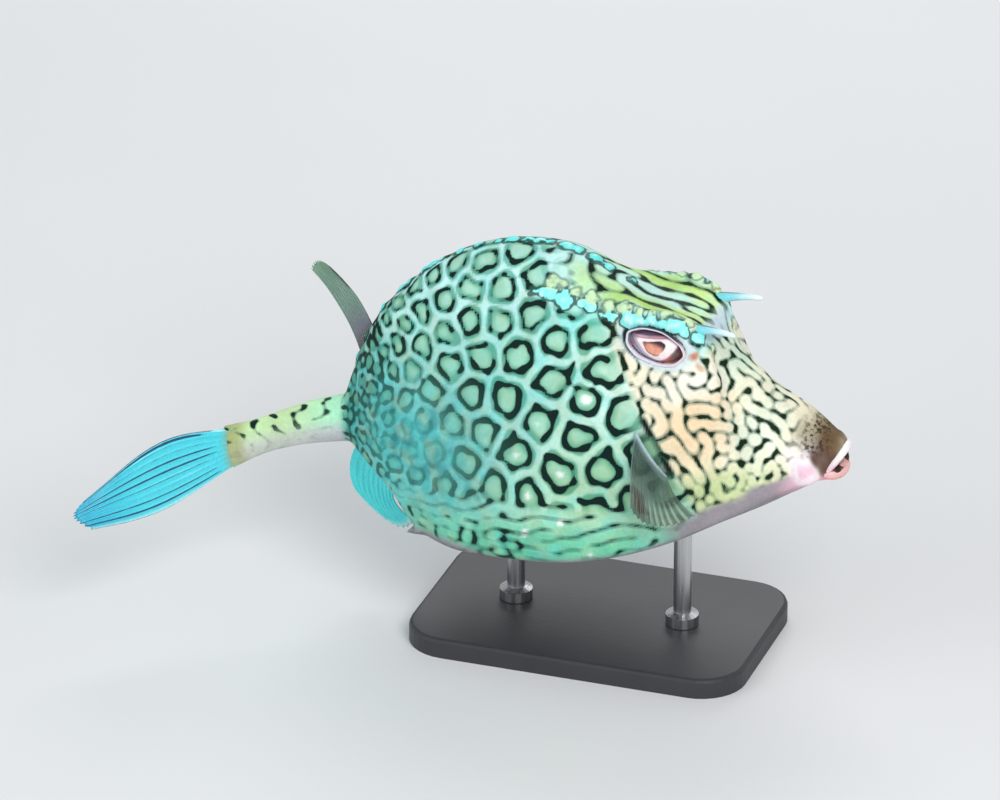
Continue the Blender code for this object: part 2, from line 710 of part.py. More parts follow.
def caudal_fin():
    """A closed paddle whose rays draw together towards its drooping tip."""
    end = Vector(STALK_COURSE[3])
    up = Vector((0, 0, 1))
    reach = Vector(CAUDAL_REACH)
    start = end - reach * CAUDAL_SINK
    root = [start + up * CAUDAL_ROOT_HALF, start, start - up * CAUDAL_ROOT_HALF]
    tips = [end + reach * CAUDAL_LENGTHS[0] + up * CAUDAL_TIP_SPREAD[0], end + reach,
            end + reach * CAUDAL_LENGTHS[1] + up * CAUDAL_TIP_SPREAD[1]]
    piece = fin("caudal_fin", root, tips, CAUDAL_RAYS, root_half=0.0022, notch=0.02)
    swell_caudal(piece, end, reach)
    stalk = stalk_tube("stalk_space", grow=GAP)
    cut_away(piece, [stalk])
    drop(stalk)
    return piece


def swell_caudal(piece, start, reach):
    """Fan the rays out a little before they draw together."""
    length = reach.length
    ahead = reach.normalized()
    for v in piece.data.vertices:
        f = max(0.0, min(1.0, (v.co - start).dot(ahead) / length))
        middle = start + reach * f
        share = CAUDAL_SWELL[0] if v.co.z > middle.z else CAUDAL_SWELL[1]
        v.co.z += (v.co.z - middle.z) * share * math.sin(math.pi * f) ** 1.2


# Stand

def stand_base():
    bm = bmesh.new()
    bmesh.ops.create_cube(bm, size=1.0)
    bmesh.ops.scale(bm, vec=(BASE_LENGTH, BASE_WIDTH, BASE_HEIGHT), verts=bm.verts)
    bmesh.ops.translate(bm, vec=(0, 0, 0.5 * BASE_HEIGHT), verts=bm.verts)
    upright = [e for e in bm.edges if abs(e.verts[0].co.z - e.verts[1].co.z) > 0.5 * BASE_HEIGHT]
    bmesh.ops.bevel(bm, geom=upright, offset=BASE_CORNER, offset_type="OFFSET", affect="EDGES", segments=8,
                    profile=0.5, material=-1)
    high = [e for e in bm.edges if all(v.co.z > 0.9 * BASE_HEIGHT for v in e.verts)]
    bmesh.ops.bevel(bm, geom=high, offset=BASE_BEVEL, offset_type="OFFSET", affect="EDGES", segments=2,
                    profile=0.5, material=-1)
    return object_from(bm, "stand_base")


def stand_rod(name, x, body):
    low = BASE_HEIGHT + GAP
    rod = disc_stack(name, ((COLLAR_RADIUS, low), (COLLAR_RADIUS, low + COLLAR_HEIGHT),
                            (ROD_RADIUS, low + COLLAR_HEIGHT + 0.001), (ROD_RADIUS, ROD_TOP)), 20, (x, 0.0))
    return cut_away(rod, [body])


def finish(obj, look):
    obj.data.materials.clear()
    obj.data.materials.append(look)
    obj.data.shade_smooth()
    obj.data.set_sharp_from_angle(angle=math.radians(35))


def main():
    clear_scene()
    shell = material("shell", (0.34, 0.62, 0.52), 0.45)
    skin = material("skin", (0.62, 0.74, 0.56), 0.45)
    cyan = material("fin_cyan", (0.06, 0.60, 0.72), 0.40)
    grey = material("fin_grey", (0.14, 0.28, 0.25), 0.40)
    pink = material("lip_pink", (0.86, 0.66, 0.68), 0.40)
    pale = material("horn_pale", (0.62, 0.86, 0.84), 0.35)
    wet = material("eye_wet", (0.55, 0.34, 0.26), 0.08)
    steel = material("stand_steel", (0.55, 0.56, 0.57), 0.30, 1.0)
    black = material("stand_black", (0.03, 0.03, 0.035), 0.45)

    pose = bpy.data.objects.new("fish_pose", None)
    bpy.context.scene.collection.objects.link(pose)
    pose.location = (0.0, 0.0, LIFT)
    pose.rotation_euler = (0.0, -PITCH, 0.0)

    body = body_cutter()
    surface = body_skin()
    made = {
        trunk(): shell,
        head(surface): skin,
        cut_away(stalk_tube("tail_stalk"), [body]): skin,
        caudal_fin(): cyan,
        middle_fin("dorsal_fin", DORSAL_ROOT, DORSAL_TIPS, DORSAL_BOW, DORSAL_RAYS, body): grey,
        middle_fin("anal_fin", ANAL_ROOT, ANAL_TIPS, ANAL_BOW, ANAL_RAYS, body): cyan,
        upper_lip(body): pink,
        lower_lip(body): pink,
    }
    for side, word in ((-1, "right"), (1, "left")):
        made[eye("eye_" + word, surface, side)] = wet
        made[horn("horn_" + word, surface, side, body)] = pale
        made[pectoral_fin("pectoral_fin_" + word, side, body)] = grey
    for obj, look in made.items():
        finish(obj, look)
        obj.parent = pose

    body.parent = pose
    finish(stand_base(), black)
    for x, word in zip(ROD_PLACES, ("rear", "front")):
        finish(stand_rod("stand_rod_" + word, x, body), steel)
    drop(body)


main()
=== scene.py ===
import math

import bmesh
import bpy
import numpy as np
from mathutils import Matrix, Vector, kdtree
from mathutils.bvhtree import BVHTree


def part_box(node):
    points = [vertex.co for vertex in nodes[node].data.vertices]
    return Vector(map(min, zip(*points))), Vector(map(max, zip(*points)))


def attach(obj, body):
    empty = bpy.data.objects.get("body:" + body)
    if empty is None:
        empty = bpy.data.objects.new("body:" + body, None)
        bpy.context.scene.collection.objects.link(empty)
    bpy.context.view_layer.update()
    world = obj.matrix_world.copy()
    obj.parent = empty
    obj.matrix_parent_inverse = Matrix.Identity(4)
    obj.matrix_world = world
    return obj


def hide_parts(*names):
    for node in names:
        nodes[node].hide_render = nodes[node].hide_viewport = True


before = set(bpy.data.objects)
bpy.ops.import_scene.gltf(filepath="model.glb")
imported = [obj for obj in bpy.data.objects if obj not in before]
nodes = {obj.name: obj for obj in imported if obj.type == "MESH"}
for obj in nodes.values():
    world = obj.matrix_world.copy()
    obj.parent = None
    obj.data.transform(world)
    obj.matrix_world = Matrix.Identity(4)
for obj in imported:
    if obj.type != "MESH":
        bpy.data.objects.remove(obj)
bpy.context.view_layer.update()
print("frame loaded:", len(nodes), "solids")

# The fish hangs over the stand with its snout a little up. Its own axes: x to the snout, y to
# its left, z up, in metres. The pattern and the airbrush strokes are in millimetres.
pose = dict(lift=0.088, pitch=math.radians(6.0))

bodyLines = dict(crownPoints=12, flankPoints=40, underPoints=25, rows=(
    # each row: top, shoulder or brow, lower ridge, belly, swell of the flank; tail first
    ((-0.1035, 0.0075), (-0.1035, 0.0065, 0.0035), (-0.1030, 0.0080, -0.0050), (-0.1020, -0.0115), 0.0005),
    ((-0.0985, 0.0195), (-0.0975, 0.0070, 0.0155), (-0.0925, 0.0165, -0.0115), (-0.0965, -0.0190), 0.0020),
    ((-0.0895, 0.0380), (-0.0880, 0.0090, 0.0320), (-0.0805, 0.0235, -0.0205), (-0.0875, -0.0310), 0.0040),
    ((-0.0765, 0.0530), (-0.0755, 0.0105, 0.0450), (-0.0695, 0.0285, -0.0340), (-0.0740, -0.0415), 0.0050),
    ((-0.0550, 0.0685), (-0.0550, 0.0120, 0.0585), (-0.0530, 0.0355, -0.0395), (-0.0540, -0.0460), 0.0055),
    ((-0.0300, 0.0765), (-0.0300, 0.0130, 0.0655), (-0.0300, 0.0415, -0.0395), (-0.0300, -0.0465), 0.0060),
    ((-0.0050, 0.0750), (-0.0050, 0.0135, 0.0645), (-0.0050, 0.0450, -0.0385), (-0.0050, -0.0455), 0.0060),
    ((0.0130, 0.0655), (0.0130, 0.0140, 0.0580), (0.0180, 0.0435, -0.0350), (0.0190, -0.0425), 0.0050),
    ((0.0275, 0.0570), (0.0280, 0.0180, 0.0580), (0.0380, 0.0385, -0.0300), (0.0400, -0.0370), 0.0035),
    ((0.0410, 0.0525), (0.0410, 0.0182, 0.0570), (0.0540, 0.0315, -0.0245), (0.0560, -0.0310), 0.0025),
    ((0.0505, 0.0475), (0.0505, 0.0155, 0.0500), (0.0660, 0.0250, -0.0205), (0.0685, -0.0265), 0.0020),
    ((0.0556, 0.0385), (0.0538, 0.0110, 0.0370), (0.0740, 0.0195, -0.0175), (0.0765, -0.0230), 0.0018),
    ((0.0622, 0.0295), (0.0614, 0.0092, 0.0262), (0.0810, 0.0150, -0.0150), (0.0830, -0.0200), 0.0014),
    ((0.0714, 0.0205), (0.0718, 0.0080, 0.0172), (0.0865, 0.0115, -0.0130), (0.0880, -0.0172), 0.0010),
    ((0.0825, 0.0128), (0.0830, 0.0075, 0.0095), (0.0905, 0.0095, -0.0125), (0.0915, -0.0162), 0.0008),
    ((0.0900, 0.0065), (0.0905, 0.0065, 0.0035), (0.0935, 0.0085, -0.0125), (0.0940, -0.0162), 0.0006),
    ((0.0945, 0.0015), (0.0950, 0.0055, -0.0010), (0.0960, 0.0072, -0.0120), (0.0960, -0.0160), 0.0005),
))


def toWorld(points):
    c, s = math.cos(pose["pitch"]), math.sin(pose["pitch"])
    turn = np.array(((c, 0.0, s), (0.0, 1.0, 0.0), (-s, 0.0, c)))
    return np.asarray(points) @ turn + (0.0, 0.0, pose["lift"])


def smooth(low, high, x):
    t = np.clip((x - low) / (high - low), 0.0, 1.0)
    return t * t * (3 - 2 * t)


def curveAt(values, place):
    values = np.asarray(values, dtype=float)
    last = len(values) - 1
    i = min(int(place), last - 1)
    f = place - i
    before = values[i - 1] if i > 0 else 2 * values[0] - values[1]
    after = values[i + 2] if i + 2 <= last else 2 * values[last] - values[last - 1]
    a, b = values[i], values[i + 1]
    return 0.5 * (2 * a + (b - before) * f + (2 * before - 5 * a + 4 * b - after) * f * f
                  + (3 * (a - b) + after - before) * f ** 3)


bodyTops = [(r[0][0], 0.0, r[0][1]) for r in bodyLines["rows"]]
bodyShoulders = [r[1] for r in bodyLines["rows"]]
bodyRidges = [r[2] for r in bodyLines["rows"]]
bodyBellies = [(r[3][0], 0.0, r[3][1]) for r in bodyLines["rows"]]
bodySwells = [r[4] for r in bodyLines["rows"]]
lastRow = len(bodyLines["rows"]) - 1


def bodySection(place, count):
    # evenly spaced points round the body, from the middle of the back down its right side
    top, shoulder = curveAt(bodyTops, place), curveAt(bodyShoulders, place)
    ridge, belly = curveAt(bodyRidges, place), curveAt(bodyBellies, place)
    a = np.linspace(0.0, 0.5 * math.pi, bodyLines["crownPoints"], endpoint=False)[:, None]
    crown = top + (shoulder - top) * np.hstack((1 - np.cos(a), np.sin(a), 1 - np.cos(a)))
    f = np.linspace(0.0, 1.0, bodyLines["flankPoints"], endpoint=False)[:, None]
    flank = shoulder + (ridge - shoulder) * f
    flank[:, 1] += curveAt(bodySwells, place) * np.sin(math.pi * f[:, 0])
    f = np.linspace(0.0, 1.0, bodyLines["underPoints"])[:, None]
    under = ridge + (belly - ridge) * np.hstack((f, f, np.sin(0.5 * math.pi * f)))
    right = np.vstack((crown, flank, under)) * (1, -1, 1)
    loop = np.vstack((right, right[-2:0:-1] * (1, -1, 1)))
    for _ in range(3):
        loop = 0.25 * np.roll(loop, 1, 0) + 0.5 * loop + 0.25 * np.roll(loop, -1, 0)
    closed = np.vstack((loop, loop[:1]))
    run = np.concatenate(((0.0,), np.cumsum(np.linalg.norm(np.diff(closed, axis=0), axis=1))))
    wanted = np.linspace(0.0, run[-1], count, endpoint=False)
    return np.stack([np.interp(wanted, run, closed[:, k]) for k in range(3)], axis=1)


def shapedGrid(name, columns, rows, place):
    # a flat grid is wrapped into a piece: place turns its two directions into points, and into
    # the values that its material reads; the seam and the two ends are merged
    bm = bmesh.new()
    bmesh.ops.create_grid(bm, x_segments=columns, y_segments=rows, size=0.5)
    flat = np.array([v.co[:2] for v in bm.verts]) + 0.5
    points, values = place(flat[:, 0], flat[:, 1])
    layers = [bm.verts.layers.float.new(word) for word in values]
    for v, point in zip(bm.verts, points):
        v.co = point
    for layer, word in zip(layers, values):
        for v, value in zip(bm.verts, values[word]):
            v[layer] = value
    bmesh.ops.remove_doubles(bm, verts=bm.verts, dist=2e-6)
    bmesh.ops.recalc_face_normals(bm, faces=bm.faces)
    data = bpy.data.meshes.new(name)
    bm.to_mesh(data)
    bm.free()
    data.shade_smooth()
    piece = bpy.data.objects.new(name, data)
    bpy.context.scene.collection.objects.link(piece)
    return piece


def vectorsOf(piece, kind):
    flat = np.empty(3 * len(piece.data.vertices), dtype=np.float32)
    piece.data.vertices.foreach_get(kind, flat)
    return flat.reshape(-1, 3).astype(float)


def movePoints(piece, points):
    piece.data.vertices.foreach_set("co", np.ascontiguousarray(points, dtype=np.float32).ravel())
    piece.data.update()


def storeValue(piece, name, values):
    made = piece.data.attributes.get(name) or piece.data.attributes.new(name, "FLOAT", "POINT")
    made.data.foreach_set("value", np.ascontiguousarray(values, dtype=np.float32))


def storedValue(piece, name):
    values = np.empty(len(piece.data.vertices), dtype=np.float32)
    piece.data.attributes[name].data.foreach_get("value", values)
    return values.astype(float)


def storeColour(piece, name, colours):
    made = piece.data.color_attributes.get(name)
    made = made or piece.data.color_attributes.new(name, "FLOAT_COLOR", "POINT")
    full = np.ones((len(colours), 4), dtype=np.float32)
    full[:, :3] = colours
    made.data.foreach_set("color", full.ravel())


def paint(r, g, b):
    # a colour as it looks on screen, 0 to 255, to the values a shader takes
    c = np.array((r, g, b)) / 255.0
    return np.where(c <= 0.04045, c / 12.92, ((c + 0.055) / 1.055) ** 2.4)


def paints(tones):
    return {name: paint(*tone) for name, tone in tones.items()}


# The skin of the whole fish, from inside the mouth to the root of the tail fin

skin = dict(
    around=288,
    rowSteps=((-0.080, 0.00078), (-0.045, 0.00112), (0.0, 0.00112), (0.032, 0.00070)),
    capRows=26,
    capReach=0.0030,
    stalkRows=52,
    stalkStart=0.12,
    endRows=6,
    endReach=0.0022,
    rimSwell=0.0011,       # the shell's rim round the tail stalk, and how far forward it fades
    rimLength=0.16,
    collarSteps=(0.3, 0.7, 0.92),
    collarDepth=0.0006,
    lumps=(
        # the round end of the snout, and the chin: middle, half sizes, where each starts
        ((0.0925, 0.0, -0.0040), (0.0070, 0.0070, 0.0066), 0.0880),
        ((0.0895, 0.0, -0.0125), (0.0056, 0.0072, 0.0044), 0.0850),
    ),
    pad=((0.0845, 0.0095, -0.0092), (0.0060, 0.0050, 0.0066)),
    padArea=0.013,
    mouth=((0.0965, 0.0, -0.0084), (0.0060, 0.0056, 0.0027)),
    mouthStart=0.0905,
    slit=((0.0300, 0.0345, 0.0190), (0.0405, 0.0370, -0.0030)),
    spine=((-0.0660, 0.0270, -0.0345), (-0.0715, 0.0278, -0.0352)),
)
stalk = dict(
    course=((-0.0960, 0.0, -0.0015), (-0.1180, -0.0020, -0.0020),
            (-0.1310, -0.0160, -0.0030), (-0.1430, -0.0280, -0.0040)),
    heights=(0.0098, 0.0090, 0.0078, 0.0074, 0.0090),
    widths=(0.0085, 0.0075, 0.0058, 0.0046, 0.0030),
)


def stalkRing(f, turnShare, scale=1.0, ahead=0.0):
    a, b, c, d = (np.array(p) for p in stalk["course"])
    centre = a * (1 - f) ** 3 + b * (3 * f * (1 - f) ** 2) + c * (3 * f * f * (1 - f)) + d * f ** 3
    along = (b - a) * (1 - f) ** 2 + (c - b) * (2 * f * (1 - f)) + (d - c) * f * f
    along = along / np.linalg.norm(along)
    across = np.cross(along, (0.0, 0.0, 1.0))
    across /= np.linalg.norm(across)
    rise = np.cross(across, along)
    high = float(curveAt(stalk["heights"], 4 * f)) * scale
    wide = float(curveAt(stalk["widths"], 4 * f)) * scale
    angle = 2 * math.pi * turnShare
    upward = np.outer(np.cos(angle) * high, rise)
    return centre + along * ahead + upward - np.outer(np.sin(angle) * wide, across)


def skinRows():
    count = skin["around"]
    share = np.linspace(0.0, 1.0, count, endpoint=False)
    steps = np.linspace(0.0, lastRow, 601)
    middle = np.array([0.5 * (curveAt(bodyTops, s) + curveAt(bodyRidges, s)) for s in steps])
    wanted = np.interp(middle[:, 0], *zip(*skin["rowSteps"]))
    run = np.linalg.norm(np.diff(middle, axis=0), axis=1) / (0.5 * (wanted[1:] + wanted[:-1]))
    run = np.concatenate(((0.0,), np.cumsum(run)))
    places = np.interp(np.linspace(0.0, run[-1], int(run[-1]) + 1), run, steps)[::-1]
    front = bodySection(float(lastRow), count)
    heart = front.mean(0)
    rows = []
    for k in range(skin["capRows"]):
        a = 0.5 * math.pi * (1 - k / skin["capRows"])
        bulge = np.array((skin["capReach"], 0.0, 0.0)) * math.sin(a)
        rows.append(heart + (front - heart) * math.cos(a) + bulge)
    for s in places:
        ring = bodySection(float(s), count)
        heart = ring.mean(0)
        out = ring - heart
        out /= np.linalg.norm(out, axis=1)[:, None]
        rows.append(ring + out * (skin["rimSwell"] * math.exp(-(s / skin["rimLength"]) ** 2)))
    rim = rows[-1]
    inner = stalkRing(skin["stalkStart"], share)
    dip = np.array((-skin["collarDepth"], 0.0, 0.0))
    for f in skin["collarSteps"]:
        rows.append(rim + (inner - rim) * f + dip * math.sin(math.pi * f))
    for k in range(skin["stalkRows"] + 1):
        f = skin["stalkStart"] + (1 - skin["stalkStart"]) * k / skin["stalkRows"]
        rows.append(stalkRing(f, share))
    for k in range(1, skin["endRows"] + 1):
        a = 0.5 * math.pi * k / skin["endRows"]
        rows.append(stalkRing(1.0, share, max(math.cos(a), 0.0), skin["endReach"] * math.sin(a)))
    rows[0][:] = rows[0].mean(0)
    rows[-1][:] = rows[-1].mean(0)
    return rows


def inflate(points, centre, half, power=8):
    # swells the surface out to a soft egg shape around the centre
    half = np.array(half)
    away = (points - centre) / half
    share = np.maximum(np.linalg.norm(away, axis=1), 0.05)
    grown = (share ** power + 1.0) ** (1.0 / power)
    return centre + away * (grown / share)[:, None] * half


def toSegment(points, a, b):
    # distance to a straight line between two points, and how far along it
    a, b = np.array(a), np.array(b)
    along = np.clip(((points - a) @ (b - a)) / ((b - a) @ (b - a)), 0.0, 1.0)
    return np.linalg.norm(points - (a + along[:, None] * (b - a)), axis=1), along


def mirrored(points):
    return np.column_stack((points[:, 0], np.abs(points[:, 1]), points[:, 2]))


def modelSkin():
    rows = skinRows()
    table = np.array(rows)
    table = np.concatenate((table, table[:, :1]), axis=1)

    def place(u, v):
        i = np.rint(v * (len(table) - 1)).astype(int)
        j = np.rint(u * skin["around"]).astype(int)
        return table[i, j], {}

    piece = shapedGrid("fish_skin", skin["around"], len(table) - 1, place)
    points = vectorsOf(piece, "co")
    side = np.where(points[:, 1] < 0, -1.0, 1.0)
    for middle, half, start in skin["lumps"]:
        near = points[:, 0] > start
        points[near] = inflate(points[near], np.array(middle), half)
    # the fleshy pads beside the jaw
    for turn in (1, -1):
        centre = np.array(skin["pad"][0]) * (1, turn, 1)
        close = (side == turn) & (np.linalg.norm(points - centre, axis=1) < skin["padArea"])
        points[close] = inflate(points[close], centre, skin["pad"][1], power=5)
    # the mouth
    centre, half = np.array(skin["mouth"][0]), np.array(skin["mouth"][1])
    gape = 1 - ((points[:, 1] - centre[1]) / half[1]) ** 2 - ((points[:, 2] - centre[2]) / half[2]) ** 2
    inMouth = (points[:, 0] > skin["mouthStart"]) & (gape > 0)
    points[inMouth, 0] -= half[0] * np.sqrt(gape[inMouth])
    storeValue(piece, "inMouth", inMouth)
    movePoints(piece, points)
    return piece


skinPiece = modelSkin()
print("skin:", len(skinPiece.data.vertices), "points")


# Relief of the skin: the eye sockets, knobs along the keel and brows, gill slits, rear spines

relief = dict(
    eyeAt=(0.0342, 0.0450),
    eyeTilt=math.radians(18.0),
    rim=(0.0116, 0.0065),   # half sizes of the ring round the eye
    knobSeed=5,
    knobHeight=0.0011,
    knobWidth=0.0021,
    knobPower=dict(keel=2.0, brow=1.2, lid=2.0),
    chains=(
        # which line they follow, from and to, step, shift, mean size
        ("keel", -0.096, 0.022, 0.0058, (0.0, 0.0, 0.0), 0.90),
        ("brow", -0.008, 0.053, 0.0058, (0.0, 0.0, 0.0), 1.20),
        ("lid", -0.016, 0.052, 0.0036, (0.0, 0.0010, -0.0046), 1.00),
    ),
    knobLoose=0.0009,      # how far a knob may lie off its line
    socketDepth=0.0065,
    slitDepth=0.0014,
    slitWidth=0.0009,
    spineReach=0.0055,
    spineWidth=0.0021,
    nostrilAt=(0.0475, 0.0406),
    nostrilRim=(0.0008, 0.0019),   # height and width
    nostrilPit=(0.0016, 0.0007),
)


def skinTree(points, faces):
    return BVHTree.FromPolygons([Vector(p) for p in points], faces)


def onFlank(tree, x, z, side):
    hit, normal, _, _ = tree.ray_cast(Vector((x, 0.2 * side, z)), Vector((0.0, -side, 0.0)))
    return np.array(hit), np.array(normal)


def eyeSeat(tree, side):
    # where the flank meets the eye, the way the eye looks, and its long and short directions
    hit, normal = onFlank(tree, *relief["eyeAt"], side)
    look = normal + (0.0, side, 0.0)
    look /= np.linalg.norm(look)
    turn = Vector((0.0, 0.0, 1.0)).rotation_difference(Vector(look)).to_matrix()
    tilt = relief["eyeTilt"]
    ahead = np.array(turn @ Vector((math.cos(tilt), side * math.sin(tilt), 0.0)))
    return hit, look, ahead, side * np.cross(ahead, look)


def nearest(points, wanted):
    return points[np.argmin(((points - np.array(wanted)) ** 2).sum(1))]


def knobPlaces(points):
    # knobs of uneven size stand in uneven steps along the keel, the brows and under the brows
    rng = np.random.default_rng(relief["knobSeed"])
    rows = np.linspace(0.0, lastRow, 400)
    lines = {"keel": np.array([curveAt(bodyTops, s) for s in rows]),
             "brow": np.array([curveAt(bodyShoulders, s) for s in rows])}
    lines["lid"] = lines["brow"]
    places, sizes, chains = [], [], []
    for chain, x, high, step, shift, mean in relief["chains"]:
        line = lines[chain]
        while x < high:
            size = mean * rng.uniform(0.6, 1.4)
            at = np.array([np.interp(x, line[:, 0], line[:, k]) for k in range(3)]) + shift
            at += rng.uniform(-relief["knobLoose"], relief["knobLoose"], 3) * (0, chain != "keel", 1)
            for side in (1, -1) if chain != "keel" else (1,):
                places.append(nearest(points, at * (1, side, 1)))
                sizes.append(size)
                chains.append(chain)
            x += step * rng.uniform(0.6, 1.5)
    return np.array(places), np.array(sizes), np.array(chains)


def eyeShare(points, seat):
    # 1 on the middle line of the ring round the eye, less inside it; and the height over the flank
    at, look, ahead, rise = seat
    away = points - at
    return np.hypot(away @ ahead / relief["rim"][0], away @ rise / relief["rim"][1]), away @ look


def carveSkin(piece):
    points = vectorsOf(piece, "co")
    faces = [tuple(p.vertices) for p in piece.data.polygons]
    tree = skinTree(points, faces)
    normals = vectorsOf(piece, "normal")
    seats = {side: eyeSeat(tree, side) for side in (1, -1)}
    knobs, knobSizes, knobChains = knobPlaces(points)
    lift = np.zeros(len(points))
    for knob, size, chain in zip(knobs, knobSizes, knobChains):
        gap2 = ((points - knob) ** 2).sum(1)
        share = np.sqrt(gap2) / (relief["knobWidth"] * size)
        height = relief["knobHeight"] * size * np.exp(-share ** relief["knobPower"][chain])
        lift = np.maximum(lift, height)
    rimRise, rimWidth = relief["nostrilRim"]
    pitDepth, pitWidth = relief["nostrilPit"]
    for side in (1, -1):
        at, _ = onFlank(tree, *relief["nostrilAt"], side)
        gap = np.linalg.norm(points - at, axis=1)
        lift += rimRise * np.exp(-(gap / rimWidth) ** 2) - pitDepth * np.exp(-(gap / pitWidth) ** 2)
    ends = [nearest(points, p) for p in skin["slit"]]
    gap, along = toSegment(mirrored(points), *mirrored(np.array(ends)))
    groove = np.exp(-(gap / relief["slitWidth"]) ** 2) * np.sin(math.pi * np.clip(along, 0.06, 0.94))
    lift -= relief["slitDepth"] * groove
    points = points + normals * lift[:, None]
    for side in (1, -1):
        _, look, _, _ = seats[side]
        share, deep = eyeShare(points, seats[side])
        sunk = (points[:, 1] * side > 0) & (share < 1.0) & (np.abs(deep) < 0.006)
        points[sunk] -= look * (relief["socketDepth"] * (1 - share[sunk] ** 2) ** 0.5)[:, None]
    root, tip = np.array(skin["spine"][0]), np.array(skin["spine"][1])
    for side in (1, -1):
        start = nearest(points, root * (1, side, 1))
        gap = np.linalg.norm(points - start, axis=1)
        reach = (tip - root) * (1, side, 1)
        pulled = relief["spineReach"] * np.exp(-(gap / relief["spineWidth"]) ** 2)
        points += reach / np.linalg.norm(reach) * pulled[:, None]
    movePoints(piece, points)
    return points, seats, knobs, knobSizes, knobChains, ends


skinPoints, eyeSeats, skinKnobs, knobSizes, knobChains, slitEnds = carveSkin(skinPiece)
print("skin carved")


# Markings. Dark ink gathers on the skin as it does on the living fish: each place is darkened by
# its near neighbours and held back by those farther off, which leaves rings, worms and stripes.

pattern = dict(
    seed=11,
    grain=0.92,            # distance between the places that are worked out
    plate=15.7,            # across the largest plates
    smaller=(
        # plates shrink towards the back, the rear, the tail and the belly: way, from, to, by
        ("z", 22.0, 56.0, 2.6),
        ("x", 0.0, -45.0, 1.8),
        ("x", -52.0, -92.0, 4.4),
        ("z", -14.0, -32.0, 2.6),
    ),
    leastPlate=8.2,
    evenings=16,
    waver=0.7,             # how much the plates' borders wander
    strength=(0.70, 1.30),   # of the plates' rings
    opened=0.42,           # share of the rings that are open to one side
    gain=4.6,
    rounds=26,
    reach=0.80,            # how far a place feels its neighbours, and how wide the darkening
    near=0.153,            # and the holding back spread, in wavelengths
    far=0.306,
    hold=0.55,             # how firmly the rings keep to the shell's plates
    plateWave=0.42,        # distance between marks on the shell, in plates; elsewhere in millimetres
    headWave=5.7,
    stalkWave=5.0,
    waveShift=dict(low=-1.2, front=-0.9, back=-1.3, between=1.5),
    bias=-0.04,            # how readily the skin darkens, and how much more or less in places
    biasShift=dict(head=0.31, low=0.04, back=-0.06, under=-0.12, tail=-0.14),
    slitHeading=(0.42, 0.0, -0.91),   # which way the stripes run by the gill slits
    frontHeading=(0.25, 0.0, -0.97),   # and on the muzzle
    ringDepth=0.275,       # where a plate's ring lies, from its edge 0 to its middle 1
    ringPeriod=0.72,
    inked=dict(shell=0.40, tail=0.24),
    lineReach=(0.27, 0.52),   # how far a line looks for darker and paler skin, in wavelengths
    lineEdge=dict(head=0.86, low=0.85, back=0.825, under=0.80),
)
millimetre = skinPoints * 1000.0


def regions(p):
    # soft masks over the body, p in millimetres in the fish's own axes
    x, y, z = p[:, 0], np.abs(p[:, 1]), p[:, 2]
    ahead = (x - 34.5) + 0.5 * (z - 8.0)
    head = smooth(-3.0, 3.0, ahead)
    tail = smooth(-101.0, -104.5, x)
    back = smooth(-16.0, -2.0, x) * smooth(50.0, 56.0, z + 0.25 * (x - 10.0)) * (1 - tail)
    back = np.maximum(back, head * smooth(46.0, 50.0, z))
    return dict(x=x, y=y, z=z, ahead=ahead, head=head * (1 - tail), tail=tail, back=back)


def plateSize(zone):
    size = pattern["plate"]
    for way, start, end, less in pattern["smaller"]:
        size = size - less * smooth(start, end, zone[way])
    return np.maximum(size, pattern["leastPlate"])


def nearestTwo(points, centres):
    gap2 = (points ** 2).sum(1)[:, None] + (centres ** 2).sum(1)[None] - 2 * points @ centres.T
    two = np.argpartition(gap2, 2, axis=1)[:, :2]
    pair = np.take_along_axis(gap2, two, 1)
    swap = pair[:, 0] > pair[:, 1]
    two[swap] = two[swap][:, ::-1]
    return two, np.sort(np.maximum(pair, 0.0), axis=1)


def layPlates(points, size, area, rng):
    # plate middles, evened out until their borders make a honeycomb
    share = size ** -2.0
    count = int((area / (0.866 * size ** 2)).sum())
    print("plates:", count, "on", int(area * len(points)), "square millimetres")
    centres = points[rng.choice(len(points), count, replace=False, p=share / share.sum())]
    weight = size ** -4.0
    for _ in range(pattern["evenings"]):
        owner = nearestTwo(points, centres)[0][:, 0]
        total = np.maximum(np.bincount(owner, weight, count), 1e-9)
        means = [np.bincount(owner, weight * points[:, k], count) / total for k in range(3)]
        centres = np.stack(means, axis=1)
    return centres


def plateField(points, centres):
    two, pair = nearestTwo(points, centres)
    between = np.linalg.norm(centres[two[:, 0]] - centres[two[:, 1]], axis=1)
    return two[:, 0], np.sqrt(pair[:, 0]), (pair[:, 1] - pair[:, 0]) / (2 * np.maximum(between, 1e-6))


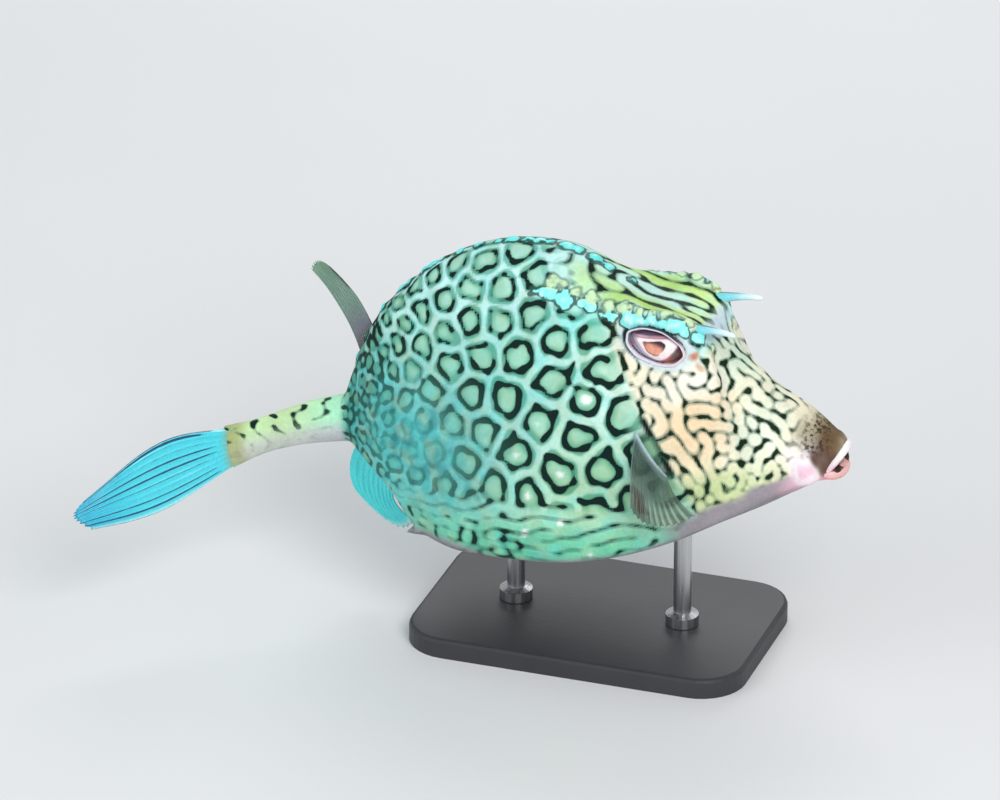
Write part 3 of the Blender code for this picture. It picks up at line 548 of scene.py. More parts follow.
def growInk(points, wave, stretch, heading, start, bias, hold):
    # neighbours within reach of every place, then rounds of darkening and holding back
    tree = kdtree.KDTree(len(points))
    for i, p in enumerate(points):
        tree.insert(p, i)
    tree.balance()
    reach = pattern["reach"] * wave * np.minimum(stretch, 1.5)
    whom, counts = [], []
    for p, r in zip(points, reach):
        found = [hit[1] for hit in tree.find_range(p, r)]
        whom.extend(found)
        counts.append(len(found))
    whom, counts = np.array(whom), np.array(counts)
    begin = np.concatenate(((0,), np.cumsum(counts)[:-1]))
    who = np.repeat(np.arange(len(points)), counts)
    away = points[whom] - points[who]
    straight = (away * heading[who]).sum(1) ** 2
    gap2 = (away ** 2).sum(1) - (1 - 1 / stretch[who] ** 2) * straight
    near = np.exp(-gap2 / (2 * (pattern["near"] * wave[who]) ** 2))
    far = np.exp(-gap2 / (2 * (pattern["far"] * wave[who]) ** 2))
    pull = near / np.add.reduceat(near, begin)[who] - far / np.add.reduceat(far, begin)[who]
    ink = start.copy()
    field = start.copy()
    for _ in range(pattern["rounds"]):
        field = pattern["gain"] * np.add.reduceat(pull * ink[whom], begin) + bias + hold * start
        ink = np.tanh(field)
    # thin lines run along the crests of the ink: 1 on a crest, 0 in the palest skin nearby
    share = gap2 / wave[who] ** 2
    near, far = pattern["lineReach"]
    high = np.maximum.reduceat(np.where(share < near ** 2, field[whom], -9.0), begin)
    low = np.minimum.reduceat(np.where(share < far ** 2, field[whom], 9.0), begin)
    return field, (field - low) / np.maximum(high - low, 0.3), tree


def ripple(p, length, seed):
    # an uneven value, mostly between -1 and 1, that changes smoothly over about this length
    rng = np.random.default_rng(seed)
    total = np.zeros(len(p))
    for _ in range(7):
        way = rng.normal(size=3)
        way *= 2 * math.pi * rng.uniform(0.7, 1.5) / (length * np.linalg.norm(way))
        total += np.sin(p @ way + rng.uniform(0, 6.3))
    return total / 2.6


def wandered(p, length, seed, amount):
    # the points, each shifted unevenly in all three directions
    return p + np.stack([ripple(p, length, seed + k) for k in range(3)], axis=1) * amount


def ringsOnPlates(spots, size, centres, rng):
    # one wavering ring on each plate, rounder than the plate; some are open to one side
    owner, fromMiddle, fromEdge = plateField(wandered(spots, 12.0, 51, pattern["waver"]), centres)
    depth = fromEdge / (0.5 * size)
    strength = rng.uniform(*pattern["strength"], len(centres))[owner]
    turn = rng.normal(size=(len(centres), 3))
    turn /= np.linalg.norm(turn, axis=1)[:, None]
    out = (spots - centres[owner]) / np.maximum(fromMiddle, 0.5)[:, None]
    opened = rng.uniform(0, 1, len(centres)) < pattern["opened"]
    gapHere = opened[owner] * smooth(0.72, 0.95, (out * turn[owner]).sum(1))
    roundness = 0.84 * (1 - fromMiddle / (0.44 * size))
    ringed = depth + 0.45 * (np.clip(roundness, -0.2, 0.84) - depth) + 0.075 * ripple(spots, 6.0, 31)
    rings = np.cos(2 * math.pi * (ringed - pattern["ringDepth"]) / pattern["ringPeriod"])
    rings = np.where(ringed > pattern["ringDepth"] + 0.5 * pattern["ringPeriod"], -1.0, rings)
    return owner, fromMiddle, depth, strength, rings * strength - 1.9 * gapHere


def growthPlan(zone, size, depth, onShell, under):
    # how far apart the marks lie, which way they run, how much of the skin they cover, and how
    # firmly they keep to the plates' rings
    low = smooth(2.0, -12.0, zone["z"]) * zone["head"]
    front = smooth(56.0, 72.0, zone["x"]) * zone["head"]
    between = smooth(-2.0, 12.0, zone["x"]) * smooth(19.0, 15.0, zone["y"]) * zone["back"]
    places = {**zone, "low": low, "front": front, "between": between, "under": under}
    wave = pattern["plateWave"] * size * onShell + (1 - onShell) * pattern["headWave"]
    for place, shift in pattern["waveShift"].items():
        wave = wave + shift * places[place]
    wave = np.where(zone["tail"] > 0.5, pattern["stalkWave"], wave)
    stretch = 1 + 1.7 * zone["back"] + 1.0 * zone["tail"]
    heading = np.tile((1.0, 0.0, 0.0), (len(size), 1))
    bySlit = smooth(0.0, 5.0, zone["ahead"]) * smooth(19.0, 13.0, zone["ahead"])
    bySlit = bySlit * smooth(26.0, 20.0, zone["z"])
    bySlit *= smooth(-14.0, -8.0, zone["z"])
    stretch = stretch + 0.7 * bySlit + 0.5 * front * (1 - low)
    heading[bySlit > 0.3] = pattern["slitHeading"]
    heading[front > 0.3] = pattern["frontHeading"]
    stretch = stretch + 1.5 * under
    wave = wave - 0.8 * under
    bias = pattern["bias"]
    for place, shift in pattern["biasShift"].items():
        bias = bias + shift * places[place]
    hold = onShell * (1 - under) * (pattern["hold"] + 1.0 * smooth(0.50, 0.70, depth))
    return dict(low=low, between=between, wave=wave, stretch=stretch, heading=heading, bias=bias,
                hold=hold)


def makeMarkings():
    rng = np.random.default_rng(pattern["seed"])
    keys = np.floor(millimetre / pattern["grain"]).astype(int)
    _, picked = np.unique(keys, axis=0, return_index=True)
    spots = millimetre[picked]
    area = sum(p.area for p in skinPiece.data.polygons) * 1e6 / len(spots)
    zone = regions(spots)
    size = plateSize(zone)
    shell = (zone["head"] < 0.5) & (zone["tail"] < 0.5)
    centres = layPlates(spots[shell], size[shell], area, rng)
    owner, fromMiddle, depth, strength, rings = ringsOnPlates(spots, size, centres, rng)
    noise = rng.normal(size=len(spots))
    onShell = (1 - zone["head"]) * (1 - zone["back"]) * (1 - zone["tail"])
    under = smooth(-13.0, -19.0, zone["z"]) * onShell
    start = (rings + 0.3 * noise) * (onShell - under) + 0.9 * noise * (1 - onShell + under)
    plan = growthPlan(zone, size, depth, onShell, under)
    field, crest, tree = growInk(spots, plan["wave"], plan["stretch"], plan["heading"], start,
                                 plan["bias"], plan["hold"])
    # the darkest share of the shell and the tail is inked, elsewhere the crests are
    plates = field - np.quantile(field[onShell > 0.5], 1 - pattern["inked"]["shell"])
    plates = plates + 0.65 * (strength - 1.0) + 0.26 * ripple(spots, 13.0, 54)
    plates -= 0.14 * smooth(22.0, 48.0, zone["z"])
    # where a ring is faint it keeps at least a thin line
    plates = np.maximum(plates, (crest - 0.74) * 3.4 - 1.5 * smooth(0.1, -0.5, rings))
    stalked = field - np.quantile(field[zone["tail"] > 0.5], 1 - pattern["inked"]["tail"])
    mark = plates + zone["tail"] * (stalked - plates)
    thinned = 0.5 * ripple(spots, 7.0, 21)
    for part, mask, gaps in (("head", zone["head"], 0.0), ("low", plan["low"], 0.0),
                             ("back", zone["back"], 0.10), ("under", under, 0.07)):
        line = (crest - pattern["lineEdge"][part] - gaps * np.maximum(thinned, -0.2)) * 3.2
        line = line + 0.05 * plan["between"]
        mark = mark + mask * (line - mark)
    return dict(tree=tree, spots=spots, ink=mark, depth=depth, middle=fromMiddle,
                lively=rng.uniform(0, 1, len(centres))[owner])


def spreadToSkin(marks, names, count=9, soft=0.95):
    # each point of the skin takes the mean of the places round it
    who = np.empty((len(millimetre), count), dtype=int)
    gap = np.empty((len(millimetre), count))
    find = marks["tree"].find_n
    for i, p in enumerate(millimetre):
        for k, hit in enumerate(find(p, count)):
            who[i, k] = hit[1]
            gap[i, k] = hit[2]
    weight = np.exp(-0.5 * (gap / soft) ** 2) + 1e-6
    weight /= weight.sum(1)[:, None]
    return {name: (marks[name][who] * weight).sum(1) for name in names}


markings = makeMarkings()
onSkin = spreadToSkin(markings, ("ink", "depth", "middle", "lively"))
print("markings grown from", len(markings["spots"]), "places")


# Colours of the skin, laid on as with an airbrush. Every stroke has a middle and half sizes in
# millimetres (0 reaches all the way along that direction), a colour and a strength; both sides
# of the fish get it.

coat = dict(
    tones=dict(
        shellTop=(196, 244, 242), shellMiddle=(194, 234, 222), shellLow=(140, 210, 178),
        # the near-white plate tone is a painted highlight
        plateRim=(126, 184, 162), plateMiddle=(140, 196, 152), plateGlint=(252, 255, 250),
        belly=(154, 148, 156), washTint=(176, 206, 214), coolTint=(84, 222, 222),
        warmTint=(176, 200, 160),
        headCream=(250, 240, 212), ink=(3, 32, 28), headInk=(9, 36, 12), halo=(40, 104, 88),
        tailLow=(206, 208, 214), tailTop=(170, 232, 196), tailYellow=(214, 228, 158),
        tailEnd=(164, 166, 98),
        eyeClear=(214, 228, 232), eyeLine=(14, 44, 36), socket=(92, 62, 72),
        slitShade=(78, 100, 88), slit=(16, 30, 28), mouthShade=(46, 20, 24),
        bandTone=(12, 60, 50), knobHighlight=(232, 255, 250),
    ),
    knobs=(
        # which chain, colour, reach of the dark band round it, how strongly it shows
        ("keel", (112, 236, 234), 3.3, 1.0),
        ("brow", (210, 242, 196), 2.6, 0.56),
        ("lid", (146, 244, 242), 3.0, 1.0),
    ),
    wash=((-66, 1), (32, 25)),   # where the marks are washed out: middle and reach, x and z
    ridgeLine=((-100, -69, -30, 18, 54, 74, 90), (-18, -35, -41, -36, -26, -19, -17)),   # x and z
    strokes=(
        ((10, 0, -10), (26, 0, 20), (176, 218, 178), 0.65),
        ((-34, 0, 30), (34, 0, 20), (138, 222, 218), 0.50),
        ((-64, 0, 0), (34, 0, 26), (78, 184, 184), 0.92),
        ((-84, 0, 10), (13, 0, 30), (84, 192, 190), 0.75),
        ((-98, 0, 0), (7, 0, 22), (60, 172, 174), 0.80),
        ((0, 0, -34), (60, 0, 9), (94, 200, 162), 0.70),
        ((26, 0, 34), (12, 0, 18), (224, 248, 238), 0.75),
        ((10, 0, 52), (22, 0, 5), (120, 236, 234), 0.65),
    ),
    browStrokes=(
        # between the brows, over the shell and the head alike
        ((26, 0, 62), (40, 20, 10), (196, 238, 224), 0.75),
        ((30, 11, 58), (22, 4.6, 9), (186, 228, 96), 0.90),
        ((6, 9, 66), (9, 4.5, 8), (196, 232, 128), 0.60),
        ((47, 8, 52), (8, 7, 6), (214, 236, 128), 0.70),
    ),
    headStrokes=(
        ((47, 0, 14), (12, 0, 15), (248, 216, 172), 0.75),
        ((46, 0, 30), (14, 0, 6), (255, 250, 238), 0.85),
        ((54, 0, -12), (22, 0, 8), (186, 208, 142), 0.80),
        ((70, 0, 8), (9, 0, 13), (228, 246, 226), 0.75),
        ((60, 0, 34), (8, 14, 12), (204, 238, 214), 0.70),
        ((46, 0, 45), (10, 0, 6), (156, 238, 238), 0.85),
        ((32, 0, 50), (12, 0, 5), (120, 232, 234), 0.85),
    ),
    overStrokes=(
        # over everything, ink too
        ((51.5, 0, 45), (2.4, 13, 5.5), (206, 216, 236), 0.80),
        ((88.5, 0, 1.5), (5.4, 0, 8.8), (136, 130, 94), 0.72),
        ((94.0, 0, -0.5), (6.8, 0, 8.2), (108, 84, 58), 1.00),
        ((85.5, 0, -16), (9.0, 0, 5.2), (222, 178, 196), 0.90),
        ((93, 0, -15.5), (7.0, 0, 4.8), (244, 190, 200), 1.00),
        ((86.4, 15, -6.8), (6.8, 8.6, 8.8), (255, 244, 250), 1.00),
        ((86.6, 15, -8.6), (2.4, 6.0, 3.2), (232, 178, 200), 0.75),
        ((91.8, 0, -5.6), (2.7, 0, 6.0), (94, 66, 50), 0.95),
        # the dark gap at the front of the mouth: painted shade
        ((97.5, 0, -9.6), (4.8, 0, 5.2), (50, 24, 26), 1.00),
        ((47.5, 0, 40.6), (2.0, 0, 1.7), (204, 116, 62), 0.90),
        ((51.0, 0, 37.5), (2.2, 0, 1.4), (176, 96, 66), 0.55),
    ),
    speckle=((89.5, 0, 2), (5.4, 0, 8.8)),   # where the muzzle is speckled
)
skinTones = paints(coat["tones"])


def strokeCover(p, middle, half, edge=1.5):
    away = sum(((p[:, k] - middle[k]) / half[k]) ** 2 for k in range(3) if half[k])
    return np.exp(-0.7 * away ** edge)


def airbrush(colours, p, strokes, edge=1.5):
    for middle, half, colour, strength in strokes:
        cover = strength * strokeCover(p, middle, half, edge)[:, None]
        colours = colours * (1 - cover) + paint(*colour) * cover
    return colours


def mixed(a, b, share):
    # a and b are a colour for each point, or one for all of them
    return a * (1 - share[:, None]) + b * share[:, None]


def nearAny(p, places, radii):
    cover = np.zeros(len(p))
    for place, radius in zip(places, radii):
        cover = np.maximum(cover, np.exp(-(((p - place) ** 2).sum(1) / radius ** 2) ** 2))
    return cover


def groundTone(p, uneven, zone, onShell, wash, glint):
    x, z = zone["x"], zone["z"]
    ground = mixed(skinTones["shellLow"], skinTones["shellMiddle"], smooth(-34, 2, z))
    ground = mixed(ground, skinTones["shellTop"], smooth(30, 66, z))
    ground = airbrush(ground, uneven, coat["strokes"])
    dim = ground * skinTones["washTint"]
    ground = mixed(ground, dim, 0.8 * wash * smooth(-0.1, 0.9, ripple(p, 8.0, 41)))
    cool, warm = smooth(0.1, 1.1, ripple(p, 15.0, 61)), smooth(0.1, 1.1, ripple(p, 12.0, 62))
    ground = mixed(ground, ground * 0.5 + skinTones["coolTint"] * 0.5, 0.55 * cool * onShell)
    ground = mixed(ground, ground * 0.5 + skinTones["warmTint"] * 0.5, 0.60 * warm * onShell)
    # painted highlights: near-white glints on some plates
    ground = mixed(ground, skinTones["plateGlint"], 0.95 * glint)
    headTone = airbrush(skinTones["headCream"], uneven, coat["headStrokes"])
    ground = mixed(ground, headTone, zone["head"] * smooth(58, 50, z))
    between = smooth(-22, -8, x) * smooth(45, 50, z + 0.2 * (x - 20))
    return mixed(ground, airbrush(ground, uneven, coat["browStrokes"]), between)


def inkCover(p, uneven, zone, wash):
    # how dark the ink is: washed out low at the rear, gone on the throat, muzzle and jaw
    x, z = zone["x"], zone["z"]
    cover = 1 - 0.84 * wash
    ridgeDrop = np.interp(x, *coat["ridgeLine"])
    under = smooth(3.5, -0.5, z - ridgeDrop)
    cover *= 1 - under * (1 - 0.25 * smooth(20, -20, x))
    muzzle = smooth(83, 87, uneven[:, 0] + 0.15 * z)
    cover *= 1 - muzzle
    throat = smooth(10.0, 6.0, z - ridgeDrop + 0.9 * ripple(p, 7.0, 63)) * smooth(30, 46, x)
    cover *= 1 - throat
    return cover, np.maximum(under, throat) * (1 - muzzle)


def knobLook(cover):
    # dark bands along the keel and the brows, with bright uneven knobs on them, whitened in the middle by
    # a painted highlight; less ink there
    count = len(millimetre)
    bands, knobLight, knobTones = np.zeros(count), np.zeros(count), np.zeros((count, 3))
    wavy = wandered(millimetre, 4.5, 6, 0.55)
    for chain, knobTone, reach, share in coat["knobs"]:
        mine = knobChains == chain
        knobs, sizes = skinKnobs[mine] * 1000.0, knobSizes[mine]
        band = nearAny(wavy, knobs, reach * np.maximum(sizes, 0.8))
        cover *= 1 - 0.9 * share * smooth(0.3, 0.8, band)
        lit = nearAny(wavy, knobs, 2.45 * sizes) * share
        # the middles of the knobs are whitened: a painted highlight over their own cyan
        pale = mixed(paint(*knobTone), skinTones["knobHighlight"], smooth(0.85, 1.0, lit) * 0.6)
        knobTones[lit > knobLight] = pale[lit > knobLight]
        bands, knobLight = np.maximum(bands, band * share), np.maximum(knobLight, lit)
    return bands, knobLight, knobTones


def paintTail(ground, cover, zone):
    above = smooth(-6, 3, zone["z"])
    tone = mixed(skinTones["tailLow"], skinTones["tailTop"], above)
    yellow = 0.6 * smooth(-104, -126, zone["x"]) * (0.4 + 0.6 * above)
    tone = mixed(tone, skinTones["tailYellow"], yellow)
    tone = mixed(tone, skinTones["tailEnd"], 0.70 * smooth(-135, -140, zone["x"]))
    cover *= 1 - zone["tail"] * (1 - above) * 0.9
    return mixed(ground, tone, zone["tail"])


def paintEyeSides(ground, cover):
    # round the eyes: a dark line behind and above the ring, and clear skin near it
    for side in (1, -1):
        at, _, ahead, rise = eyeSeats[side]
        share, deep = eyeShare(skinPoints, eyeSeats[side])
        share = np.where(np.abs(deep) < 0.009, share, 9.0)
        away = skinPoints - at
        turned = -0.75 * away @ ahead + 0.66 * away @ rise
        cover *= smooth(1.22, 1.36, share)
        ground = mixed(ground, skinTones["eyeClear"], smooth(1.50, 1.25, share) * 0.85)
        line = smooth(1.03, 1.08, share) * smooth(1.28, 1.20, share) * smooth(-0.003, 0.002, turned)
        ground = mixed(ground, skinTones["eyeLine"], line)
        ground = mixed(ground, skinTones["socket"], smooth(1.0, 0.92, share))
    return ground


def paintSlits(ground, cover, p, zone):
    # behind each gill slit the skin is painted a darker grey-green shade, and the slit's groove near
    # black: painted shadow
    gap, along = toSegment(p, *(mirrored(np.array(slitEnds)) * 1000.0))
    behind = smooth(0.5, 3.5, -zone["ahead"] + 1.0) * smooth(9.5, 4.0, gap)
    ground = mixed(ground, skinTones["slitShade"], 0.75 * behind * smooth(0.0, 0.3, along))
    cover *= 1 - 0.8 * behind
    return mixed(ground, skinTones["slit"], smooth(1.9, 0.8, gap))


def paintSkin():
    p = mirrored(skinPoints) * 1000.0
    uneven = wandered(p, 9.0, 3, 1.3)
    zone = regions(millimetre)
    x, z = zone["x"], zone["z"]
    onShell = (1 - zone["head"]) * (1 - zone["back"]) * (1 - zone["tail"])
    away = (uneven[:, (0, 2)] - coat["wash"][0]) / coat["wash"][1]
    wash = np.exp(-(away[:, 0] ** 2 + away[:, 1] ** 2) ** 1.3)
    # a white glint is painted in the middle of some plates towards the front and low on the flank: a
    # painted highlight
    glint = smooth(2.3, 1.4, onSkin["middle"]) * smooth(0.5, 0.6, onSkin["lively"]) * onShell
    glint *= smooth(-34, -14, x) * smooth(40, 20, z)
    ground = groundTone(p, uneven, zone, onShell, wash, glint)
    cover, bare = inkCover(p, uneven, zone, wash)
    ground = mixed(ground, skinTones["belly"], bare)
    bands, knobLight, knobTones = knobLook(cover)
    ground = paintTail(ground, cover, zone)
    ground = paintEyeSides(ground, cover)
    ground = paintSlits(ground, cover, p, zone)
    ground = airbrush(ground, uneven, coat["overStrokes"], 2)
    for middle, half, _, strength in coat["overStrokes"]:
        cover *= 1 - strength * strokeCover(uneven, middle, half, 2)
    # the inside of the mouth is painted near black: painted shade in the opening
    ground = mixed(ground, skinTones["mouthShade"], storedValue(skinPiece, "inMouth"))
    storeColour(skinPiece, "ground", ground)
    storeColour(skinPiece, "inkTone", mixed(skinTones["ink"], skinTones["headInk"], zone["head"]))
    storeColour(skinPiece, "knobTone", knobTones)
    depth = onSkin["depth"]
    values = {
        "knobBand": bands,
        "knobLight": knobLight,
        "depth": depth,
        "shellShare": onShell * (1 - 0.8 * wash) * smooth(-20, -13, z) * (1 - glint),
        "ink": onSkin["ink"],
        "cover": np.clip(cover, 0, 1),
        "plateHeight": onShell * (smooth(0.20, 0.02, depth) + 0.6 * smooth(0.45, 0.95, depth)),
        "speckle": strokeCover(p, *coat["speckle"], 2) * smooth(-5.5, -2.5, z),
    }
    for name, value in values.items():
        storeValue(skinPiece, name, value)


paintSkin()
movePoints(skinPiece, toWorld(skinPoints))
print("skin painted")


# Shader helpers

def newMaterial(name, **inputs):
    material = bpy.data.materials.new(name)
    material.use_nodes = True
    shader = material.node_tree.nodes["Principled BSDF"]
    for key, value in inputs.items():
        shader.inputs[key.replace("_", " ")].default_value = value
    return material, material.node_tree, shader


def addNode(tree, kind, inputs=None, **settings):
    node = tree.nodes.new(kind)
    for key, value in settings.items():
        setattr(node, key, value)
    for key, value in (inputs or {}).items():
        node.inputs[key].default_value = value
    return node


def mixNode(tree, share, a, b, blend="MIX"):
    node = addNode(tree, "ShaderNodeMix", data_type="RGBA", blend_type=blend)
    for socket, value in ((node.inputs["Factor"], share), (node.inputs[6], a), (node.inputs[7], b)):
        if hasattr(value, "is_output"):
            tree.links.new(value, socket)
        elif isinstance(value, (tuple, list, np.ndarray)):
            socket.default_value = (*value, 1.0)
        else:
            socket.default_value = value
    return node.outputs[2]


def mathNode(tree, operation, *values):
    node = addNode(tree, "ShaderNodeMath", operation=operation)
    for socket, value in zip(node.inputs, values):
        if hasattr(value, "is_output"):
            tree.links.new(value, socket)
        else:
            socket.default_value = value
    return node.outputs[0]


def rangeNode(tree, value, low, high, toLow=0.0, toHigh=1.0, kind="SMOOTHSTEP"):
    limits = {1: low, 2: high, 3: toLow, 4: toHigh}
    node = addNode(tree, "ShaderNodeMapRange", limits, interpolation_type=kind)
    tree.links.new(value, node.inputs[0])
    return node.outputs[0]


def noiseNode(tree, scale, detail=3.0, roughness=0.55, stretch=None):
    settings = {"Scale": scale, "Detail": detail, "Roughness": roughness}
    noise = addNode(tree, "ShaderNodeTexNoise", settings)
    where = addNode(tree, "ShaderNodeTexCoord")
    if stretch:
        turn = addNode(tree, "ShaderNodeMapping")
        turn.inputs["Scale"].default_value = stretch
        tree.links.new(where.outputs["Object"], turn.inputs["Vector"])
        tree.links.new(turn.outputs["Vector"], noise.inputs["Vector"])
    else:
        tree.links.new(where.outputs["Object"], noise.inputs["Vector"])
    return noise.outputs["Fac"]


def mottled(tree, colour, noise, limits):
    # the colour made uneven by a noise; limits are the noise's span and the factors at its ends
    return mixNode(tree, 1.0, colour, rangeNode(tree, noise, *limits, "LINEAR"), "MULTIPLY")


def attributeNode(tree, name, colour=False):
    node = addNode(tree, "ShaderNodeAttribute", attribute_name=name)
    return node.outputs["Color" if colour else "Fac"]


def bumpNode(tree, shader, height, distance, strength=1.0):
    bump = addNode(tree, "ShaderNodeBump", {"Strength": strength, "Distance": distance})
    tree.links.new(height, bump.inputs["Height"])
    tree.links.new(bump.outputs["Normal"], shader.inputs["Normal"])


def skinMaterial():
    material, tree, shader = newMaterial("patterned_skin", Specular_IOR_Level=0.15)
    fine = noiseNode(tree, 700.0, 2.0)
    grain = noiseNode(tree, 260.0, 4.0)
    broad = noiseNode(tree, 60.0, 3.0)
    # the edge of the ink wavers a little, and a green halo lies round it
    waver = mathNode(tree, "MULTIPLY_ADD", grain, 0.64, -0.32)
    ink = mathNode(tree, "ADD", attributeNode(tree, "ink"), waver)
    cover = attributeNode(tree, "cover")
    mask = mathNode(tree, "MULTIPLY", rangeNode(tree, ink, -0.20, 0.16), cover)
    halo = mathNode(tree, "MULTIPLY", rangeNode(tree, ink, -1.05, 0.05, 0.0, 0.62), cover)
    mottle = rangeNode(tree, broad, 0.30, 0.70, 0.86, 1.10, "LINEAR")
    speck = rangeNode(tree, fine, 0.25, 0.75, 0.92, 1.08, "LINEAR")
    tone = mathNode(tree, "MULTIPLY", mottle, speck)
    tinted = mixNode(tree, 1.0, attributeNode(tree, "ground", True), tone, "MULTIPLY")
    flecks = mathNode(tree, "MULTIPLY", rangeNode(tree, fine, 0.42, 0.66), attributeNode(tree, "speckle"))
    tinted = mixNode(tree, flecks, tinted, (0.045, 0.034, 0.016))
    # the plates are darker just inside their pale borders and greener in the middle
    depth = mathNode(tree, "ADD", attributeNode(tree, "depth"), mathNode(tree, "MULTIPLY", waver, 0.14))
    onPlate = attributeNode(tree, "shellShare")
    rim = mathNode(tree, "MULTIPLY", rangeNode(tree, depth, 0.11, 0.25), onPlate)
    rim = mathNode(tree, "MULTIPLY", rim, rangeNode(tree, depth, 0.50, 0.82, 0.88, 0.0))
    tinted = mixNode(tree, rim, tinted, skinTones["plateRim"], "MULTIPLY")
    middle = mathNode(tree, "MULTIPLY", rangeNode(tree, depth, 0.40, 0.66, 0.0, 0.5), onPlate)
    tinted = mixNode(tree, middle, tinted, skinTones["plateMiddle"])
    band = mathNode(tree, "ADD", attributeNode(tree, "knobBand"), mathNode(tree, "MULTIPLY", waver, 0.5))
    tinted = mixNode(tree, rangeNode(tree, band, 0.22, 0.50, 0.0, 0.85), tinted, skinTones["bandTone"])
    shaded = mixNode(tree, halo, tinted, skinTones["halo"])
    colour = mixNode(tree, mask, shaded, attributeNode(tree, "inkTone", True))
    lit = mathNode(tree, "ADD", attributeNode(tree, "knobLight"), mathNode(tree, "MULTIPLY", waver, 0.6))
    knobTone = attributeNode(tree, "knobTone", True)
    colour = mixNode(tree, rangeNode(tree, lit, 0.34, 0.54), colour, knobTone)
    tree.links.new(colour, shader.inputs["Base Color"])
    tree.links.new(rangeNode(tree, grain, 0.2, 0.8, 0.42, 0.66, "LINEAR"), shader.inputs["Roughness"])
    plates = mathNode(tree, "MULTIPLY", attributeNode(tree, "plateHeight"), 0.9)
    rough = mathNode(tree, "MULTIPLY_ADD", grain, 0.55, plates)
    height = mathNode(tree, "MULTIPLY_ADD", mask, -0.55, rough)
    bumpNode(tree, shader, height, 0.0005, 0.8)
    return material


skinPiece.data.materials.append(skinMaterial())
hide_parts("carapace", "head", "tail_stalk")
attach(skinPiece, "root")
print("skin finished")


# Eyes: a globe with a sunken pupil in a three-cornered pale ring, set in a fleshy oval ring. Its
# parts lie on a level grid over the eye, in millimetres towards the snout and up.

eye = dict(
    half=(0.0108, 0.0062, 0.0052),
    level=math.radians(21.0),   # turns the globe's long direction level
    paleRing=((-7.3, 3.9), (10.4, 2.5), (7.4, -1.8), (4.4, -4.4), (0.8, -5.5), (-2.6, -3.6)),
    pupil=((-4.0, 2.4), (3.0, 2.7), (5.0, 0.9), (3.6, -1.7), (0.4, -3.2), (-2.6, -1.5)),
    ringWidth=0.0006,
    ringHeight=0.0011,
    pupilSink=0.00045,     # how deep the pupil lies in the pale ring
    paleRingSink=0.0003,   # how deep the rest of the globe lies around the pale ring
    tones=dict(
        behind=(182, 176, 196), above=(86, 70, 90), below=(184, 72, 42), before=(84, 54, 48),
        corner=(206, 120, 140), crease=(120, 96, 116), lidEdge=(196, 142, 160), paleRing=(255, 236, 238),
        pupilEdge=(150, 78, 66), pupilLight=(234, 156, 128), pupilDark=(64, 42, 56),
        pupilShade=(34, 18, 26),
    ),
    ringTones=dict(
        flesh=(226, 218, 236), inner=(108, 86, 104), low=(198, 232, 236), front=(250, 222, 230),
        outline=(22, 50, 44),
    ),
)


def eyeFrame(side):
    # the seat, the way the eye looks, and its long and short directions, as they stand in the model
    seat = eyeSeats[side]
    turned = toWorld(np.array(seat[1:])) - toWorld(np.zeros((3, 3)))
    return toWorld(seat[0][None])[0], turned[0], turned[1], turned[2]


def sideGaps(x, y, corners):
    # how far outside each side of a many-cornered patch the points lie, corners going clockwise
    gaps = []
    for (ax, ay), (bx, by) in zip(corners, corners[1:] + corners[:1]):
        gaps.append(((bx - ax) * (y - ay) - (by - ay) * (x - ax)) / math.hypot(bx - ax, by - ay))
    return np.stack(gaps)


def patchGap(x, y, corners, soft=0.35):
    # the same for the whole patch, with rounded corners
    return soft * np.log(np.exp(np.clip(sideGaps(x, y, corners) / soft, -60, 60)).sum(0))


def finishPiece(piece, material, replaced):
    piece.data.materials.append(material)
    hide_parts(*replaced)
    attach(piece, "root")


